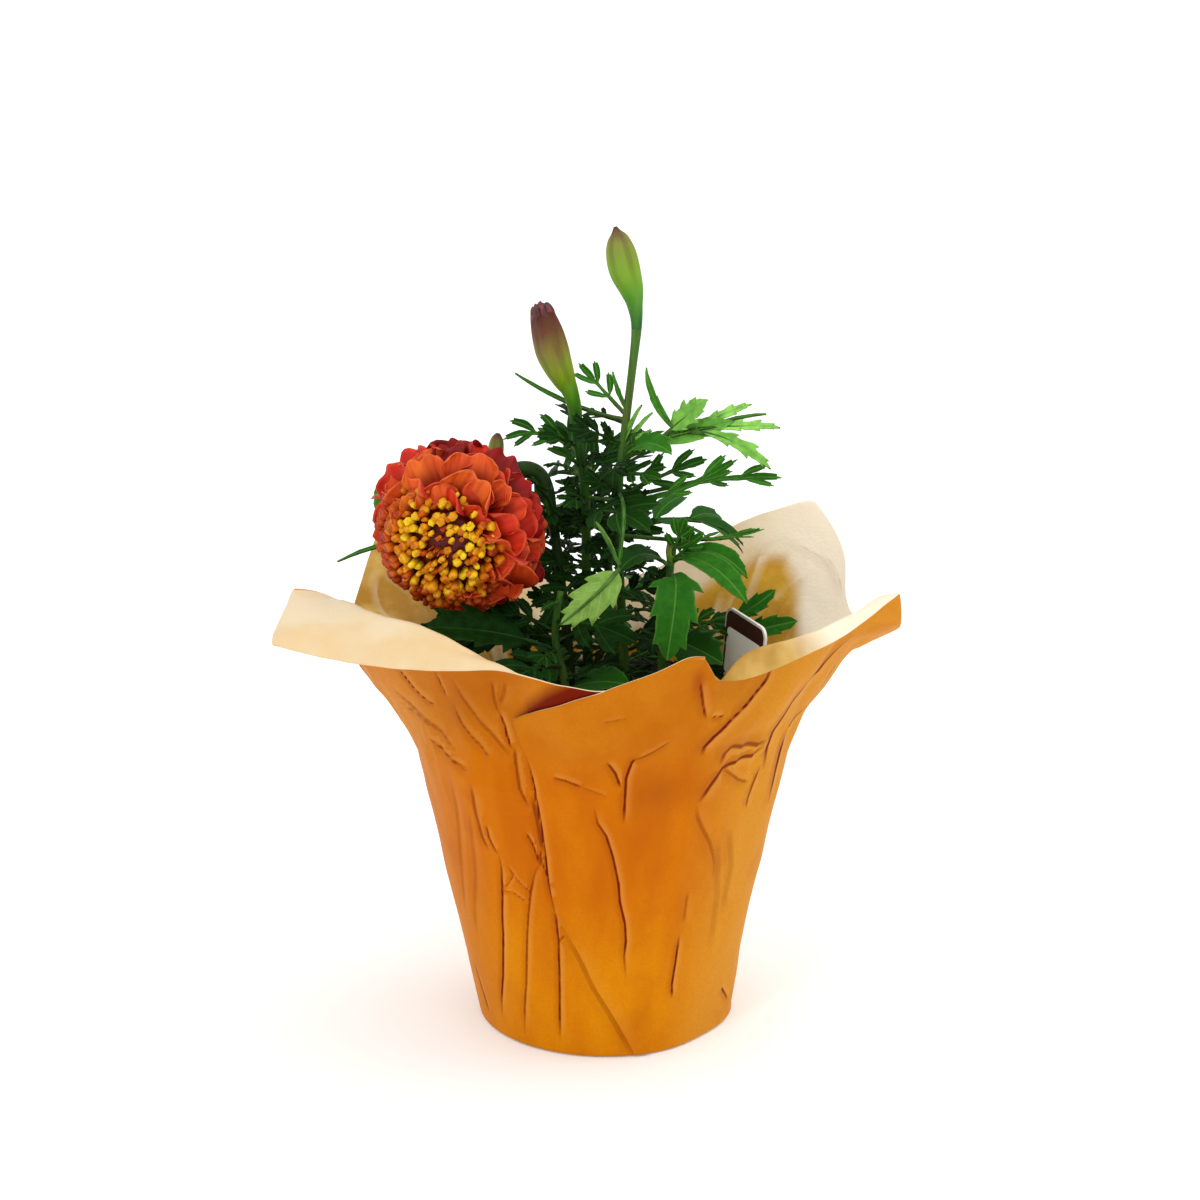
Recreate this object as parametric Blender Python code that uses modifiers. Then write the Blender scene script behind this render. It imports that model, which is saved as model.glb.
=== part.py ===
"""A potted French marigold in a flared paper pot cover, in metres, +Z up.

The origin is the centre of the cover's flat bottom. -Y is the front. Azimuths are in degrees
from the front, turning towards +X. The plant is a few leafy stems that stand in holes in the
potting soil, one open bloom, two tall buds and two small ones.
"""

import math
import random

import bmesh
import bpy
import numpy as np
from mathutils import Matrix, Vector

MM = 0.001
SEED = 20
GAP = 0.35  # running clearance between pieces that rest on or in each other, mm

# Driving dimensions, mm
BASE_RADIUS = 35.2
NECK_RADIUS = 53.0
NECK_HEIGHT = 80.0
COVER_THICKNESS = 0.8
POT_HEIGHT = 86.0
POT_WALL = 1.0
POT_FLOOR = 1.6
POT_LIP = 0.9  # how far the thickened rim stands out
POT_SIDES = 24
DRAIN_HOLES = 5  # besides the one in the middle
DRAIN_RADIUS = 4.0
SOIL_TOP = 72.0
SOIL_SIDES = 24
STEM_FOOT = 46.0
TAG_WIDTH = 21.0
TAG_THICKNESS = 0.8
TAG_FOOT = 8.0  # where along its plane the tag's point begins
TAG_LENGTH = 78.0
LEAF_THICKNESS = 0.7
PETAL_THICKNESS = 0.7

# The flare of the cover at each azimuth: middle radius and height, rim radius and height, how far
# the lip arches up between them, and whether the sheet has one of its four corners there
FLARE = [
    (0, 58, 98, 64, 114, 0, False),
    (11, 58.5, 100, 64.3, 118.2, 0, False),
    (18, 59, 102, 65.3, 121.8, 0, False),
    (22.5, 59, 102, 65, 121.4, 0, True),
    (25.5, 58.5, 100, 64.8, 115, 1, True),
    (32, 59, 99, 67.2, 115, 11.5, False),
    (44, 60, 101, 71.5, 119, 11, False),
    (55, 62, 107, 76.3, 123.4, 7.5, False),
    (66, 64, 112, 83, 130.3, 4, True),
    (75, 66, 111, 80.5, 119, 1, False),
    (87, 64.6, 104.5, 77.4, 111, 0, False),
    (98, 62.5, 101, 73, 107, 0, False),
    (110, 61, 99, 71.5, 110, 0, False),
    (122, 63, 104, 79.5, 120, 0, False),
    (136, 65, 107, 86, 130, 0, True),
    (150, 62, 102, 78, 121, 0, False),
    (165, 58, 96, 69, 109, 0, False),
    (180, 57, 93, 66, 104, 0, False),
    (200, 58, 95, 70, 107, 0, False),
    (215, 61, 100, 79, 113, 0, False),
    (228, 63, 103, 88.5, 120, 0, True),
    (240, 62, 100, 81.5, 107, 0, False),
    (254, 62, 101, 76, 104, 1, False),
    (268, 67, 114, 84, 121, 2, True),
    (282, 68.5, 121, 87, 120.3, 1.5, False),
    (296, 67, 123.5, 95.5, 119, 1, True),
    (304, 64.5, 123.5, 85, 117, 1, False),
    (313, 61.5, 122.5, 77, 116.5, 1.5, False),
    (324, 59.5, 119, 69.5, 116.8, 2, False),
    (336, 57.5, 111, 65, 117.6, 2.5, False),
    (350, 58, 98, 64, 115, 0, False),
]
# Between the neck and its middle the flare swells at the left and the right
LEFT_SWELL, RIGHT_SWELL = 7.2, 0.4
# How far the wall sags inwards of a straight cone: height, at the left and at the right
WALL_SAG = [(0, 0, 0.2), (20, 0.4, 1.8), (40, 0.7, 2.6), (60, 1.2, 2.5), (70, 1.6, 2.6), (80, 1.4, 3.0)]

# Centre lines of the stems: x, y, z and radius. Each begins in its hole in the soil, and a bud is
# the swelling at the end of its stem
STEMS = {
    "stem_right_bud": [
        (6, 4, STEM_FOOT, 1.5), (6, 4, 72, 1.5), (5, 4, 100, 1.3), (3.5, 3, 130, 1.2),
        (3.5, 1, 150, 1.1), (4.7, 0, 163, 1.1), (6.9, 0, 182, 1.1), (8.0, 0, 193, 1.4),
        (7.6, 0, 199, 2.1), (6.7, 0, 203.5, 3.3), (5.0, 0, 208.6, 4.3), (3.9, 0, 213.5, 4.1),
        (3.2, 0, 217, 2.9), (2.7, 0, 218.8, 1.3), (2.4, 0, 220, 0.5),
    ],
    "stem_left_bud": [
        (-4, 9, STEM_FOOT, 1.5), (-4, 9, 72, 1.5), (-5, 9, 100, 1.4), (-5.3, 7, 125, 1.3),
        (-5.6, 5, 147, 1.3), (-7.5, 3, 162, 1.4), (-8.3, 2, 171, 1.9), (-9.4, 1, 175.8, 2.3),
        (-10.9, 1, 179, 3.2), (-12.5, 0, 183, 4.1), (-13.9, 0, 187, 4.7), (-15.1, 0, 191.5, 4.5),
        (-16.1, 0, 195, 3.9), (-16.8, 0, 197.2, 3.3),
    ],
    "stem_bloom": [
        (-9, 2, STEM_FOOT, 1.5), (-9, 2, 72, 1.5), (-10, 3, 100, 1.4), (-12.5, 5, 125, 1.3),
        (-14.5, 6, 140, 1.5), (-15.8, 6, 147.5, 1.9), (-18.2, 6, 152, 2.2), (-22.3, 5.5, 153.3, 2.4),
        (-27, 3.8, 151.4, 2.5), (-31.6, 1.2, 147.4, 2.6), (-34.8, -2.4, 144.3, 3.2),
        (-36.1, -4.9, 143.2, 4.6), (-37.3, -7.3, 142.2, 5.4), (-37.8, -8.1, 141.8, 5.4),
    ],
    "stem_right": [
        (13, -6, STEM_FOOT, 1.3), (13, -6, 72, 1.3), (14.5, -8, 95, 1.2), (16, -10, 115, 1.1),
        (17, -11, 130, 1.0), (17.2, -11, 133, 1.2), (17.2, -11, 135.2, 1.5), (17, -11, 137.2, 1.0),
        (17, -11, 138, 0.5),
    ],
    "stem_front": [
        (-8, -17, STEM_FOOT, 1.2), (-8, -17, 72, 1.2), (-9, -20, 88, 1.1), (-11, -20, 102, 1.1),
        (-13.5, -18, 114, 1.0), (-12, -17, 126, 0.8),
    ],
    "stem_back": [
        (4, 18, STEM_FOOT, 1.4), (4, 18, 72, 1.4), (3, 20, 95, 1.3), (1, 21, 118, 1.2),
        (-1, 20, 138, 1.1), (-2, 19, 149, 0.8),
    ],
    "stem_left": [
        (-18, 14, STEM_FOOT, 1.3), (-18, 14, 72, 1.3), (-22, 15, 95, 1.2), (-26, 15, 118, 1.1),
        (-28.5, 14, 138, 1.0), (-29.7, 14, 149, 1.0), (-30, 14, 153, 1.7), (-29.8, 14, 156.5, 2.3),
        (-29.4, 14, 159.6, 1.8), (-29.1, 14, 161.2, 0.6),
    ],
}

# Leaflet pairs as station, length, angle and width, then the terminal leaflet as start and width.
# All but the angle are shares of the leaf's length; rib is the half width of the winged midrib.
# A leaflet's teeth are sections: place along it and half width as a share of its width. A whole
# blade has its margin instead: points along and across it, with its stalk up to the first
LEAFLET_TEETH = [(0.30, 0.38), (0.58, 0.52), (0.66, 0.33)]
TERMINAL_TEETH = [(0.36, 0.52), (0.46, 0.36), (0.74, 0.34)]
LEAF_KINDS = {
    "feather": {
        "pairs": [(0.34, 0.30, 55, 0.14), (0.57, 0.34, 44, 0.15)],
        "rib": 0.024, "terminal": (0.67, 0.17),
    },
    "short": {
        "pairs": [(0.48, 0.40, 45, 0.17)],
        "rib": 0.03, "terminal": (0.64, 0.19),
    },
    "narrow": {
        "pairs": [(0.42, 0.24, 36, 0.075), (0.64, 0.27, 30, 0.08)],
        "rib": 0.026, "terminal": (0.70, 0.10),
    },
    "wisp": {
        "pairs": [(0.38, 0.34, 50, 0.095), (0.62, 0.32, 40, 0.095)],
        "rib": 0.022, "terminal": (0.68, 0.11),
    },
    "ribbon": {
        "pairs": [(0.56, 0.15, 28, 0.04), (0.76, 0.18, 25, 0.045)],
        "rib": 0.018, "terminal": (0.78, 0.055),
    },
    "lancet": {
        "margin": [
            (0.05, 0.012), (0.20, 0.036), (0.40, 0.054), (0.60, 0.064), (0.61, 0.052), (0.75, 0.050),
            (0.88, 0.030), (1.0, 0.0),
        ],
    },
    "lance": {
        "margin": [
            (0.36, 0.012), (0.42, 0.040), (0.52, 0.068), (0.63, 0.080), (0.72, 0.076), (0.79, 0.084),
            (0.785, 0.054), (0.88, 0.038), (0.95, 0.016), (1.0, 0.0),
        ],
    },
    "spear": {
        "margin": [
            (0.20, 0.012), (0.28, 0.040), (0.40, 0.066), (0.54, 0.100), (0.52, 0.062), (0.63, 0.068),
            (0.77, 0.096), (0.75, 0.054), (0.84, 0.048), (0.93, 0.050), (0.91, 0.026), (1.0, 0.0),
        ],
    },
    "thread": {
        "margin": [
            (0.10, 0.012), (0.30, 0.018), (0.50, 0.024), (0.70, 0.026), (0.86, 0.018), (1.0, 0.0),
        ],
    },
    "wide": {
        "margin": [
            (0.16, 0.012), (0.24, 0.055), (0.38, 0.098), (0.52, 0.120), (0.66, 0.124), (0.665, 0.110),
            (0.78, 0.104), (0.785, 0.090), (0.90, 0.060), (0.905, 0.046), (1.0, 0.0),
        ],
    },
    "paddle": {
        "margin": [
            (0.60, 0.012), (0.66, 0.050), (0.76, 0.086), (0.75, 0.064), (0.87, 0.080), (0.86, 0.054),
            (0.94, 0.048), (1.0, 0.0),
        ],
    },
    "heart": {
        "margin": [
            (0.27, 0.012), (0.33, 0.050), (0.42, 0.080), (0.56, 0.172), (0.545, 0.118), (0.64, 0.118),
            (0.76, 0.160), (0.74, 0.108), (0.83, 0.104), (0.92, 0.104), (0.905, 0.066), (0.95, 0.046),
            (1.0, 0.0),
        ],
    },
    "tongue": {
        "margin": [
            (0.60, 0.012), (0.65, 0.055), (0.72, 0.082), (0.73, 0.078), (0.81, 0.088), (0.82, 0.080),
            (0.90, 0.068), (0.91, 0.058), (0.96, 0.036), (1.0, 0.0),
        ],
    },
    "oval": {
        "margin": [
            (0.10, 0.012), (0.20, 0.075), (0.30, 0.125), (0.40, 0.152), (0.41, 0.145), (0.53, 0.165),
            (0.54, 0.155), (0.66, 0.158), (0.67, 0.146), (0.78, 0.128), (0.79, 0.114), (0.89, 0.078),
            (1.0, 0.0),
        ],
    },
    "broad": {
        "margin": [
            (0.27, 0.012), (0.33, 0.075), (0.40, 0.120), (0.52, 0.205), (0.50, 0.145), (0.58, 0.150),
            (0.72, 0.205), (0.70, 0.135), (0.78, 0.140), (0.88, 0.145), (0.86, 0.092), (0.91, 0.075),
            (0.96, 0.040), (1.0, 0.0),
        ],
    },
    "hanging": {
        "margin": [
            (0.02, 0.03), (0.10, 0.15), (0.24, 0.22), (0.38, 0.275), (0.36, 0.205), (0.52, 0.205),
            (0.70, 0.235), (0.665, 0.145), (0.78, 0.120), (0.90, 0.130), (0.87, 0.075), (1.0, 0.0),
        ],
    },
}

STALK_SHARE = 0.62  # how much of the way to the first leaflets the stalk of a leaf stays slender
STALK_HALF_WIDTH = 0.65

# Leaves as place on the stem, tip, kind, the way the upper face looks and the bend. The place is a
# height, or the number of an earlier leaf of the same stem and how far along its midrib. The bend
# is the arch in degrees, or the point that draws the curve
TO_CAMERA = (0, -0.6, 0.8)
UPWARD = (0, -0.15, 1)
LEAVES = {
    "stem_right_bud": [
        (157.5, (30, -8, 168.8), "thread", UPWARD, (14, -6, 166)),
        ((0, 0.62), (10.4, -6, 183.8), "lancet", (-0.5, -0.8, 0.3), (12, -6, 173.5)),
        ((0, 0.42), (26.5, -8, 175.8), "broad", (-0.2, -0.8, 0.5), 15),
        ((0, 0.68), (38.2, -6, 174.2), "spear", (-0.2, -0.7, 0.7), 10),
        ((0, 0.75), (42.5, 1, 169.9), "thread", UPWARD, 15),
        ((0, 0.82), (45.5, -12, 169.3), "spear", TO_CAMERA, 14),
        ((0, 0.70), (42.8, -20, 160.2), "spear", (0.1, -0.6, 0.8), (32, -14, 169)),
        (156.5, (17, -17, 163.5), "broad", (0, -0.6, 0.8), (9, -9, 168)),
        (169.5, (-7.9, 10, 181.8), "wisp", TO_CAMERA, (1, 7, 173)),
        (170.5, (1.6, -1, 181.6), "lancet", (-0.5, -0.8, 0.3), 15),
        (168.5, (-24.3, 14, 178), "thread", UPWARD, (-12, 8, 170)),
        (146, (46.8, -10, 155.2), "ribbon", TO_CAMERA, (26, -8, 155.5)),
        (147, (27, -4, 158.5), "wisp", TO_CAMERA, 20),
        (148, (2.8, -42, 138.6), "thread", TO_CAMERA, (6, -40, 157)),
        ((13, 0.99), (-11.8, -46, 125.8), "hanging", (0.3, 0.9, -0.3), (-1, -46, 134.5)),
        ((13, 0.95), (-2.6, -38, 151), "lancet", (0.6, 0.8, -0.1), 12),
        ((0, 0.28), (33.5, -9, 170.2), "wide", (-0.2, -0.8, 0.5), 12),
        (136, (42.5, -2, 138.5), "ribbon", UPWARD, (30, -1, 134)),
        (153, (15, -12, 155), "short", TO_CAMERA, 35),
        (161, (9.3, -2, 173), "lancet", (-0.6, -0.6, 0.3), 20),
        (160, (12.2, 0, 170.5), "lancet", (-0.6, -0.6, 0.4), 20),
        (158.5, (11.8, -6, 167), "lance", TO_CAMERA, 20),
    ],
    "stem_left_bud": [
        (158, (-28.2, 10.3, 161.1), "wisp", (0, -0.65, 0.75), (-15, 12, 164.3)),
        (154, (-15.5, -2, 161), "lance", TO_CAMERA, 40),
        (146, (34.5, -16, 163), "ribbon", TO_CAMERA, (17, -16, 147)),
        (140, (12, -24, 145), "short", TO_CAMERA, 45),
        (124, (-17, -14, 116), "feather", (0, -0.6, 0.8), 40),
        (152, (-18, 25, 145), "short", TO_CAMERA, 35),
        (150, (6, 15, 161), "short", TO_CAMERA, 30),
    ],
    "stem_bloom": [
        (106, (-51, -7, 110.5), "feather", (0, -0.5, 0.85), 25),
        (128, (-30, -2, 122), "short", TO_CAMERA, 40),
        (92, (-26, -8, 103), "short", TO_CAMERA, 40),
        (134, (-20.5, -14, 156), "spear", (-0.3, -0.6, 0.7), (-14, -8, 152)),
    ],
    "stem_right": [
        (127.5, (15.5, -44, 115.5), "heart", (0, -1, 0.25), (20, -36, 141)),
        (132, (37, -24, 131.8), "wide", (0.1, -0.55, 0.8), (27, -17, 142)),
        (133, (36.5, -33, 127.5), "wide", (0.2, -0.6, 0.7), (27, -25, 140)),
        (131, (2.8, -32, 135), "wide", (0, -0.6, 0.8), (9, -22, 142)),
        (133, (21, -16, 146.5), "short", (0, -0.9, 0.4), 20),
        (116, (45.2, -8, 123.8), "paddle", (-0.2, -0.8, 0.5), (32, -12, 112)),
        (108, (51, -11, 116), "paddle", (0, -0.8, 0.6), (34, -12, 112)),
        (132, (25.5, -16, 141.5), "short", (0, -0.8, 0.6), 20),
        (110, (30, -40, 113.5), "broad", (0, -0.8, 0.6), 30),
    ],
    "stem_front": [
        (99, (6, -44, 109), "oval", (0, -0.6, 0.8), 30),
        (110, (-47, -35, 121.5), "broad", (0, -0.5, 0.85), 30),
        (106, (-26, -46, 110), "short", (0, -0.6, 0.8), 30),
        (118, (8, -36, 118), "short", (0, -0.7, 0.7), 45),
        (123, (-17, -28, 124), "spear", (0, -0.7, 0.7), 30),
    ],
    "stem_back": [
        (142, (8, 34, 154), "short", TO_CAMERA, 45),
        (146, (-16, 34, 160), "short", TO_CAMERA, 40),
        (130, (40, 34, 126), "short", UPWARD, 55),
        (124, (-22, 46, 130), "short", UPWARD, 55),
        (106, (12, 54, 108), "short", UPWARD, 55),
        (134, (-20, 14, 134), "short", TO_CAMERA, 40),
        (130, (16, 13, 134), "short", TO_CAMERA, 30),
        (96, (26, 10, 106), "short", TO_CAMERA, 40),
    ],
    "stem_left": [
        (136, (-61.8, 12, 147.5), "tongue", (-0.3, -0.9, 0.2), (-54, 12, 122)),
        (130, (-73, 8, 127), "thread", UPWARD, 40),
        (118, (-58, 34, 126), "short", UPWARD, 50),
        (138, (-36, 44, 146), "short", UPWARD, 50),
    ],
}
LEAF_ROOT = 0.6  # how far past the stem's centre line a leaf begins, mm
LEAF_FOLD = 0.28  # rise of the leaflets from the midrib, per mm across

# The open bloom: the middle of its receptacle and the way its disc faces
BLOOM_SEAT = Vector((-39.2, -10.5, 141.4))
BLOOM_AXIS = Vector((-0.48, -0.80, -0.35)).normalized()
RECEPTACLE_RADIUS = 6.6
# Rings of ray petals as count, arc that they fill, degrees from the axis, length and width. Every
# arc is centred on the upper right of the bloom, where the disc leaves the petals room
PETAL_RINGS = [
    (6, 200, 68, 22.8, 13.5),
    (9, 330, 83, 23.6, 15.0),
    (7, 250, 100, 23.6, 15.0),
    (5, 170, 117, 23.2, 14.5),
]
# Disc florets: the core that they stand on, their number, spread, reach and head radius
CORE_RADIUS = 17.0
FLORET_COUNT = 40
FLORET_SPREAD = 53.0
FLORET_REACH = 21.2
FLORET_HEAD = 2.0
FLORET_SIDES = 4

MATERIALS = {
    "orange_paper": ((0.80, 0.40, 0.07), 0.45),
    "black_plastic": ((0.03, 0.03, 0.03), 0.5),
    "potting_soil": ((0.05, 0.03, 0.02), 0.95),
    "tag_plastic": ((0.12, 0.04, 0.03), 0.4),
    "leaf_green": ((0.08, 0.25, 0.06), 0.55),
    "petal_orange": ((0.78, 0.20, 0.09), 0.6),
    "floret_yellow": ((0.90, 0.50, 0.05), 0.6),
    "bud_red": ((0.28, 0.05, 0.04), 0.6),
}


def clear_scene():
    for obj in list(bpy.data.objects):
        bpy.data.objects.remove(obj)


def material(name):
    found = bpy.data.materials.get(name)
    if found:
        return found
    colour, roughness = MATERIALS[name]
    made = bpy.data.materials.new(name)
    made.use_nodes = True
    shader = made.node_tree.nodes["Principled BSDF"]
    shader.inputs["Base Color"].default_value = (*colour, 1)
    shader.inputs["Roughness"].default_value = roughness
    return made


def add_object(name, data, collection):
    obj = bpy.data.objects.new(name, data)
    collection.objects.link(obj)
    return obj


def mesh_object(name, points, faces, collection):
    """An object from points in millimetres and faces that share them, as triangles."""
    mesh = bpy.data.meshes.new(name)
    mesh.from_pydata([Vector(p) * MM for p in points], [], faces)
    shape = bmesh.new()
    shape.from_mesh(mesh)
    bmesh.ops.triangulate(shape, faces=shape.faces)
    if all(edge.is_manifold for edge in shape.edges):
        bmesh.ops.recalc_face_normals(shape, faces=shape.faces)
    shape.to_mesh(mesh)
    shape.free()
    return add_object(name, mesh, collection)


def baked(obj):
    """The object as an equal one whose modifiers or curve are plain mesh."""
    is_curve = obj.type == "CURVE"
    graph = bpy.context.evaluated_depsgraph_get()
    mesh = bpy.data.meshes.new_from_object(obj.evaluated_get(graph))
    if is_curve:
        shape = bmesh.new()
        shape.from_mesh(mesh)
        bmesh.ops.remove_doubles(shape, verts=shape.verts, dist=0.001 * MM)
        shape.to_mesh(mesh)
        shape.free()
    name, matrix, collection = obj.name, obj.matrix_world.copy(), obj.users_collection[0]
    bpy.data.objects.remove(obj)
    made = add_object(name, mesh, collection)
    made.matrix_world = matrix
    return made


def solidified(obj, thickness, offset):
    shell = obj.modifiers.new("Thickness", "SOLIDIFY")
    shell.thickness = thickness * MM
    shell.offset = offset
    return obj


def combine(name, pieces, operation, target=None):
    """The pieces joined in the first one, or cut from the target, by one Boolean that is applied."""
    first = target or pieces[0]
    others = pieces if target else pieces[1:]
    bin_collection = bpy.data.collections.new("operands")
    bpy.context.scene.collection.children.link(bin_collection)
    for piece in others:
        for home in list(piece.users_collection):
            home.objects.unlink(piece)
        bin_collection.objects.link(piece)
    step = first.modifiers.new("Combine", "BOOLEAN")
    step.operation = operation
    step.operand_type = "COLLECTION"
    step.collection = bin_collection
    made = baked(first)
    for piece in others:
        bpy.data.objects.remove(piece)
    bpy.data.collections.remove(bin_collection)
    made.name = name
    return made


def finish(obj, material_name):
    obj.data.materials.clear()
    obj.data.materials.append(material(material_name))
    if obj.type == "MESH":
        obj.data.shade_smooth()
        obj.data.set_sharp_from_angle(angle=math.radians(35))
    return obj


def on_azimuth(degrees, radius, height):
    turn = math.radians(degrees)
    return Vector((radius * math.sin(turn), -radius * math.cos(turn), height))


# Pot cover

def flare_at(azimuth):
    """Middle and rim sizes of the flare there, smooth between the rows but sharp at the corners."""
    count = len(FLARE)
    after = next((i for i, row in enumerate(FLARE) if row[0] > azimuth), count)
    rows = [FLARE[(after + k) % count] for k in (-2, -1, 0, 1)]
    turns = [row[0] for row in rows]
    for k in (0, 1):
        if turns[k] > azimuth:
            turns[k] -= 360
    for k in (2, 3):
        if turns[k] <= azimuth:
            turns[k] += 360
    span = turns[2] - turns[1]
    t = (azimuth - turns[1]) / span

    def slope(here, before, beyond, column):
        if rows[here][6]:
            return rows[2][column] - rows[1][column]
        rise = rows[beyond][column] - rows[before][column]
        return rise * span / (turns[beyond] - turns[before])

    sizes = []
    for column in range(1, 6):
        start, end = rows[1][column], rows[2][column]
        leave, arrive = slope(1, 0, 2, column), slope(2, 1, 3, column)
        sizes.append(
            (2 * t**3 - 3 * t**2 + 1) * start + (t**3 - 2 * t**2 + t) * leave
            + (3 * t**2 - 2 * t**3) * end + (t**3 - t**2) * arrive
        )
    return sizes


def pleat(azimuth, height):
    """Outward bulge of the paper's pleats, strongest at the neck and nothing at the bottom."""
    turn = math.radians(azimuth)
    ripple = 0.5 + 0.3 * math.sin(7 * turn + 0.6) + 0.2 * math.sin(11 * turn + 2.0)
    return 1.3 * ripple * min(1.0, height / NECK_HEIGHT)


def cover_column(azimuth):
    """Points of the outer face from the bottom's edge to the rim."""
    mid_radius, mid_height, rim_radius, rim_height, arch = flare_at(azimuth)
    cone = (NECK_RADIUS - BASE_RADIUS) / NECK_HEIGHT
    right = 0.5 + 0.5 * math.sin(math.radians(azimuth))
    heights, left_sag, right_sag = zip(*WALL_SAG)

    def wall(height):
        left, far = np.interp(height, heights, left_sag), np.interp(height, heights, right_sag)
        sag = (1 - right) * left + right * far
        return BASE_RADIUS + cone * height - sag + pleat(azimuth, height)

    column = [on_azimuth(azimuth, BASE_RADIUS - 1.2, 0)]
    for height in (1.2, 40, 66, NECK_HEIGHT):
        column.append(on_azimuth(azimuth, wall(height), height))
    neck, reach = wall(NECK_HEIGHT), mid_height - NECK_HEIGHT
    off = (azimuth + 180) % 360 - 180
    swell = LEFT_SWELL * math.exp(-(((off + 88) / 20) ** 2)) - 0.06 * reach
    swell += RIGHT_SWELL * math.exp(-(((off - 88) / 20) ** 2))
    for t in (0.5, 1.0):
        radius = neck + (mid_radius - neck) * t + 4 * swell * t * (1 - t)
        column.append(on_azimuth(azimuth, radius, NECK_HEIGHT + reach * t))
    for t in (0.35, 0.7, 1.0):
        radius = mid_radius + (rim_radius - mid_radius) * t
        height = mid_height + (rim_height - mid_height) * t + 4 * arch * t * (1 - t)
        column.append(on_azimuth(azimuth, radius, height))
    return column


def make_cover(collection):
    azimuths = []
    for row, beyond in zip(FLARE, FLARE[1:] + [(360,)]):
        azimuths.append(row[0])
        if beyond[0] - row[0] > 9:
            azimuths.append((row[0] + beyond[0]) / 2)
    columns = [cover_column(azimuth) for azimuth in azimuths]
    rows = len(columns[0])
    points = [point for column in columns for point in column] + [Vector((0, 0, 0))]
    faces = []
    for i in range(len(columns)):
        here, beyond = i * rows, (i + 1) % len(columns) * rows
        faces.append((len(points) - 1, beyond, here))
        for k in range(rows - 1):
            faces.append((here + k, beyond + k, beyond + k + 1, here + k + 1))
    sheet = mesh_object("pot_cover", points, faces, collection)
    return finish(solidified(sheet, COVER_THICKNESS, -1), "orange_paper")


# Nursery pot and soil

def pot_radius(height):
    """Outer radius of the nursery pot, inside the cover all the way up."""
    floor = COVER_THICKNESS + GAP
    bottom, top = BASE_RADIUS - 2.3, 48.3
    return bottom + (top - bottom) * (height - floor) / (POT_HEIGHT - floor)


def make_nursery_pot(collection):
    floor = COVER_THICKNESS + GAP
    lip = pot_radius(POT_HEIGHT) + POT_LIP
    below = POT_HEIGHT - 4
    outline = [
        (lip, POT_HEIGHT), (pot_radius(below) + POT_LIP, below), (pot_radius(below), below),
        (pot_radius(floor), floor), (DRAIN_RADIUS, floor), (DRAIN_RADIUS, floor + POT_FLOOR),
        (pot_radius(floor + POT_FLOOR) - POT_WALL, floor + POT_FLOOR),
        (pot_radius(POT_HEIGHT) - POT_WALL, POT_HEIGHT),
    ]
    mesh = bpy.data.meshes.new("nursery_pot")
    edges = [(i, (i + 1) % len(outline)) for i in range(len(outline))]
    mesh.from_pydata([Vector((r, 0, z)) * MM for r, z in outline], edges, [])
    pot = add_object("nursery_pot", mesh, collection)
    turn = pot.modifiers.new("Turn", "SCREW")
    turn.steps = turn.render_steps = POT_SIDES
    turn.use_merge_vertices = True
    turn.merge_threshold = 0.0001
    pot = baked(pot)
    holes = []
    for i in range(DRAIN_HOLES):
        bpy.ops.mesh.primitive_cylinder_add(
            vertices=10, radius=DRAIN_RADIUS * MM, depth=3 * POT_FLOOR * MM,
            location=on_azimuth(360 * i / DRAIN_HOLES, 22, floor + POT_FLOOR / 2) * MM,
        )
        holes.append(bpy.context.object)
    return finish(combine("nursery_pot", holes, "DIFFERENCE", target=pot), "black_plastic")


def make_soil(collection, tag_slot):
    """The root ball: bumpy on top, with a plain hole for each stem and a slot for the tag."""
    draw = random.Random(SEED)
    floor = COVER_THICKNESS + 2 * GAP + POT_FLOOR
    inset = POT_WALL + GAP
    rings = [(8, 1.5), (18, 1.2), (29, 0.8), (39, 0.5)]
    rim = pot_radius(SOIL_TOP) - inset
    points = [Vector((0, 0, SOIL_TOP + 1))]
    for radius, bump in rings:
        for i in range(SOIL_SIDES):
            height = SOIL_TOP + draw.uniform(-bump, bump)
            points.append(on_azimuth(360 * i / SOIL_SIDES, radius, height))
    for radius, height in ((rim, SOIL_TOP - 1.5), (pot_radius(floor) - inset, floor)):
        points += [on_azimuth(360 * i / SOIL_SIDES, radius, height) for i in range(SOIL_SIDES)]
    points.append(Vector((0, 0, floor)))
    faces = []
    for i in range(SOIL_SIDES):
        beyond = (i + 1) % SOIL_SIDES
        faces.append((0, 1 + i, 1 + beyond))
        for k in range(len(rings) + 1):
            low, high = 1 + k * SOIL_SIDES, 1 + (k + 1) * SOIL_SIDES
            faces.append((low + i, high + i, high + beyond, low + beyond))
        last = 1 + (len(rings) + 1) * SOIL_SIDES
        faces.append((last + i, len(points) - 1, last + beyond))
    soil = mesh_object("potting_soil", points, faces, collection)
    cutters = [tag_slot]
    for line in STEMS.values():
        x, y, foot, radius = line[0]
        low, high = foot - GAP, SOIL_TOP + 8
        bpy.ops.mesh.primitive_cylinder_add(
            vertices=8, radius=(radius + GAP) / math.cos(math.pi / 8) * MM,
            depth=(high - low) * MM, location=Vector((x, y, (low + high) / 2)) * MM,
        )
        cutters.append(bpy.context.object)
    return finish(combine("potting_soil", cutters, "DIFFERENCE", target=soil), "potting_soil")


# Plant tag

def tag_outline(grow):
    """Half outline of the tag, from its point to its rounded top, grown by a margin."""
    half = TAG_WIDTH / 2 + grow
    corner = 3.0
    right = [(0, TAG_FOOT - grow), (2.5 + grow, TAG_FOOT + 3), (3.4 + grow, 26), (3.4 + grow, 38)]
    right.append((half, 50))
    for step in range(4):
        turn = math.radians(30 * step)
        right.append(
            (half - corner + corner * math.cos(turn), TAG_LENGTH - corner + corner * math.sin(turn))
        )
    return right + [(-x, y) for x, y in reversed(right) if x > 0]


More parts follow.
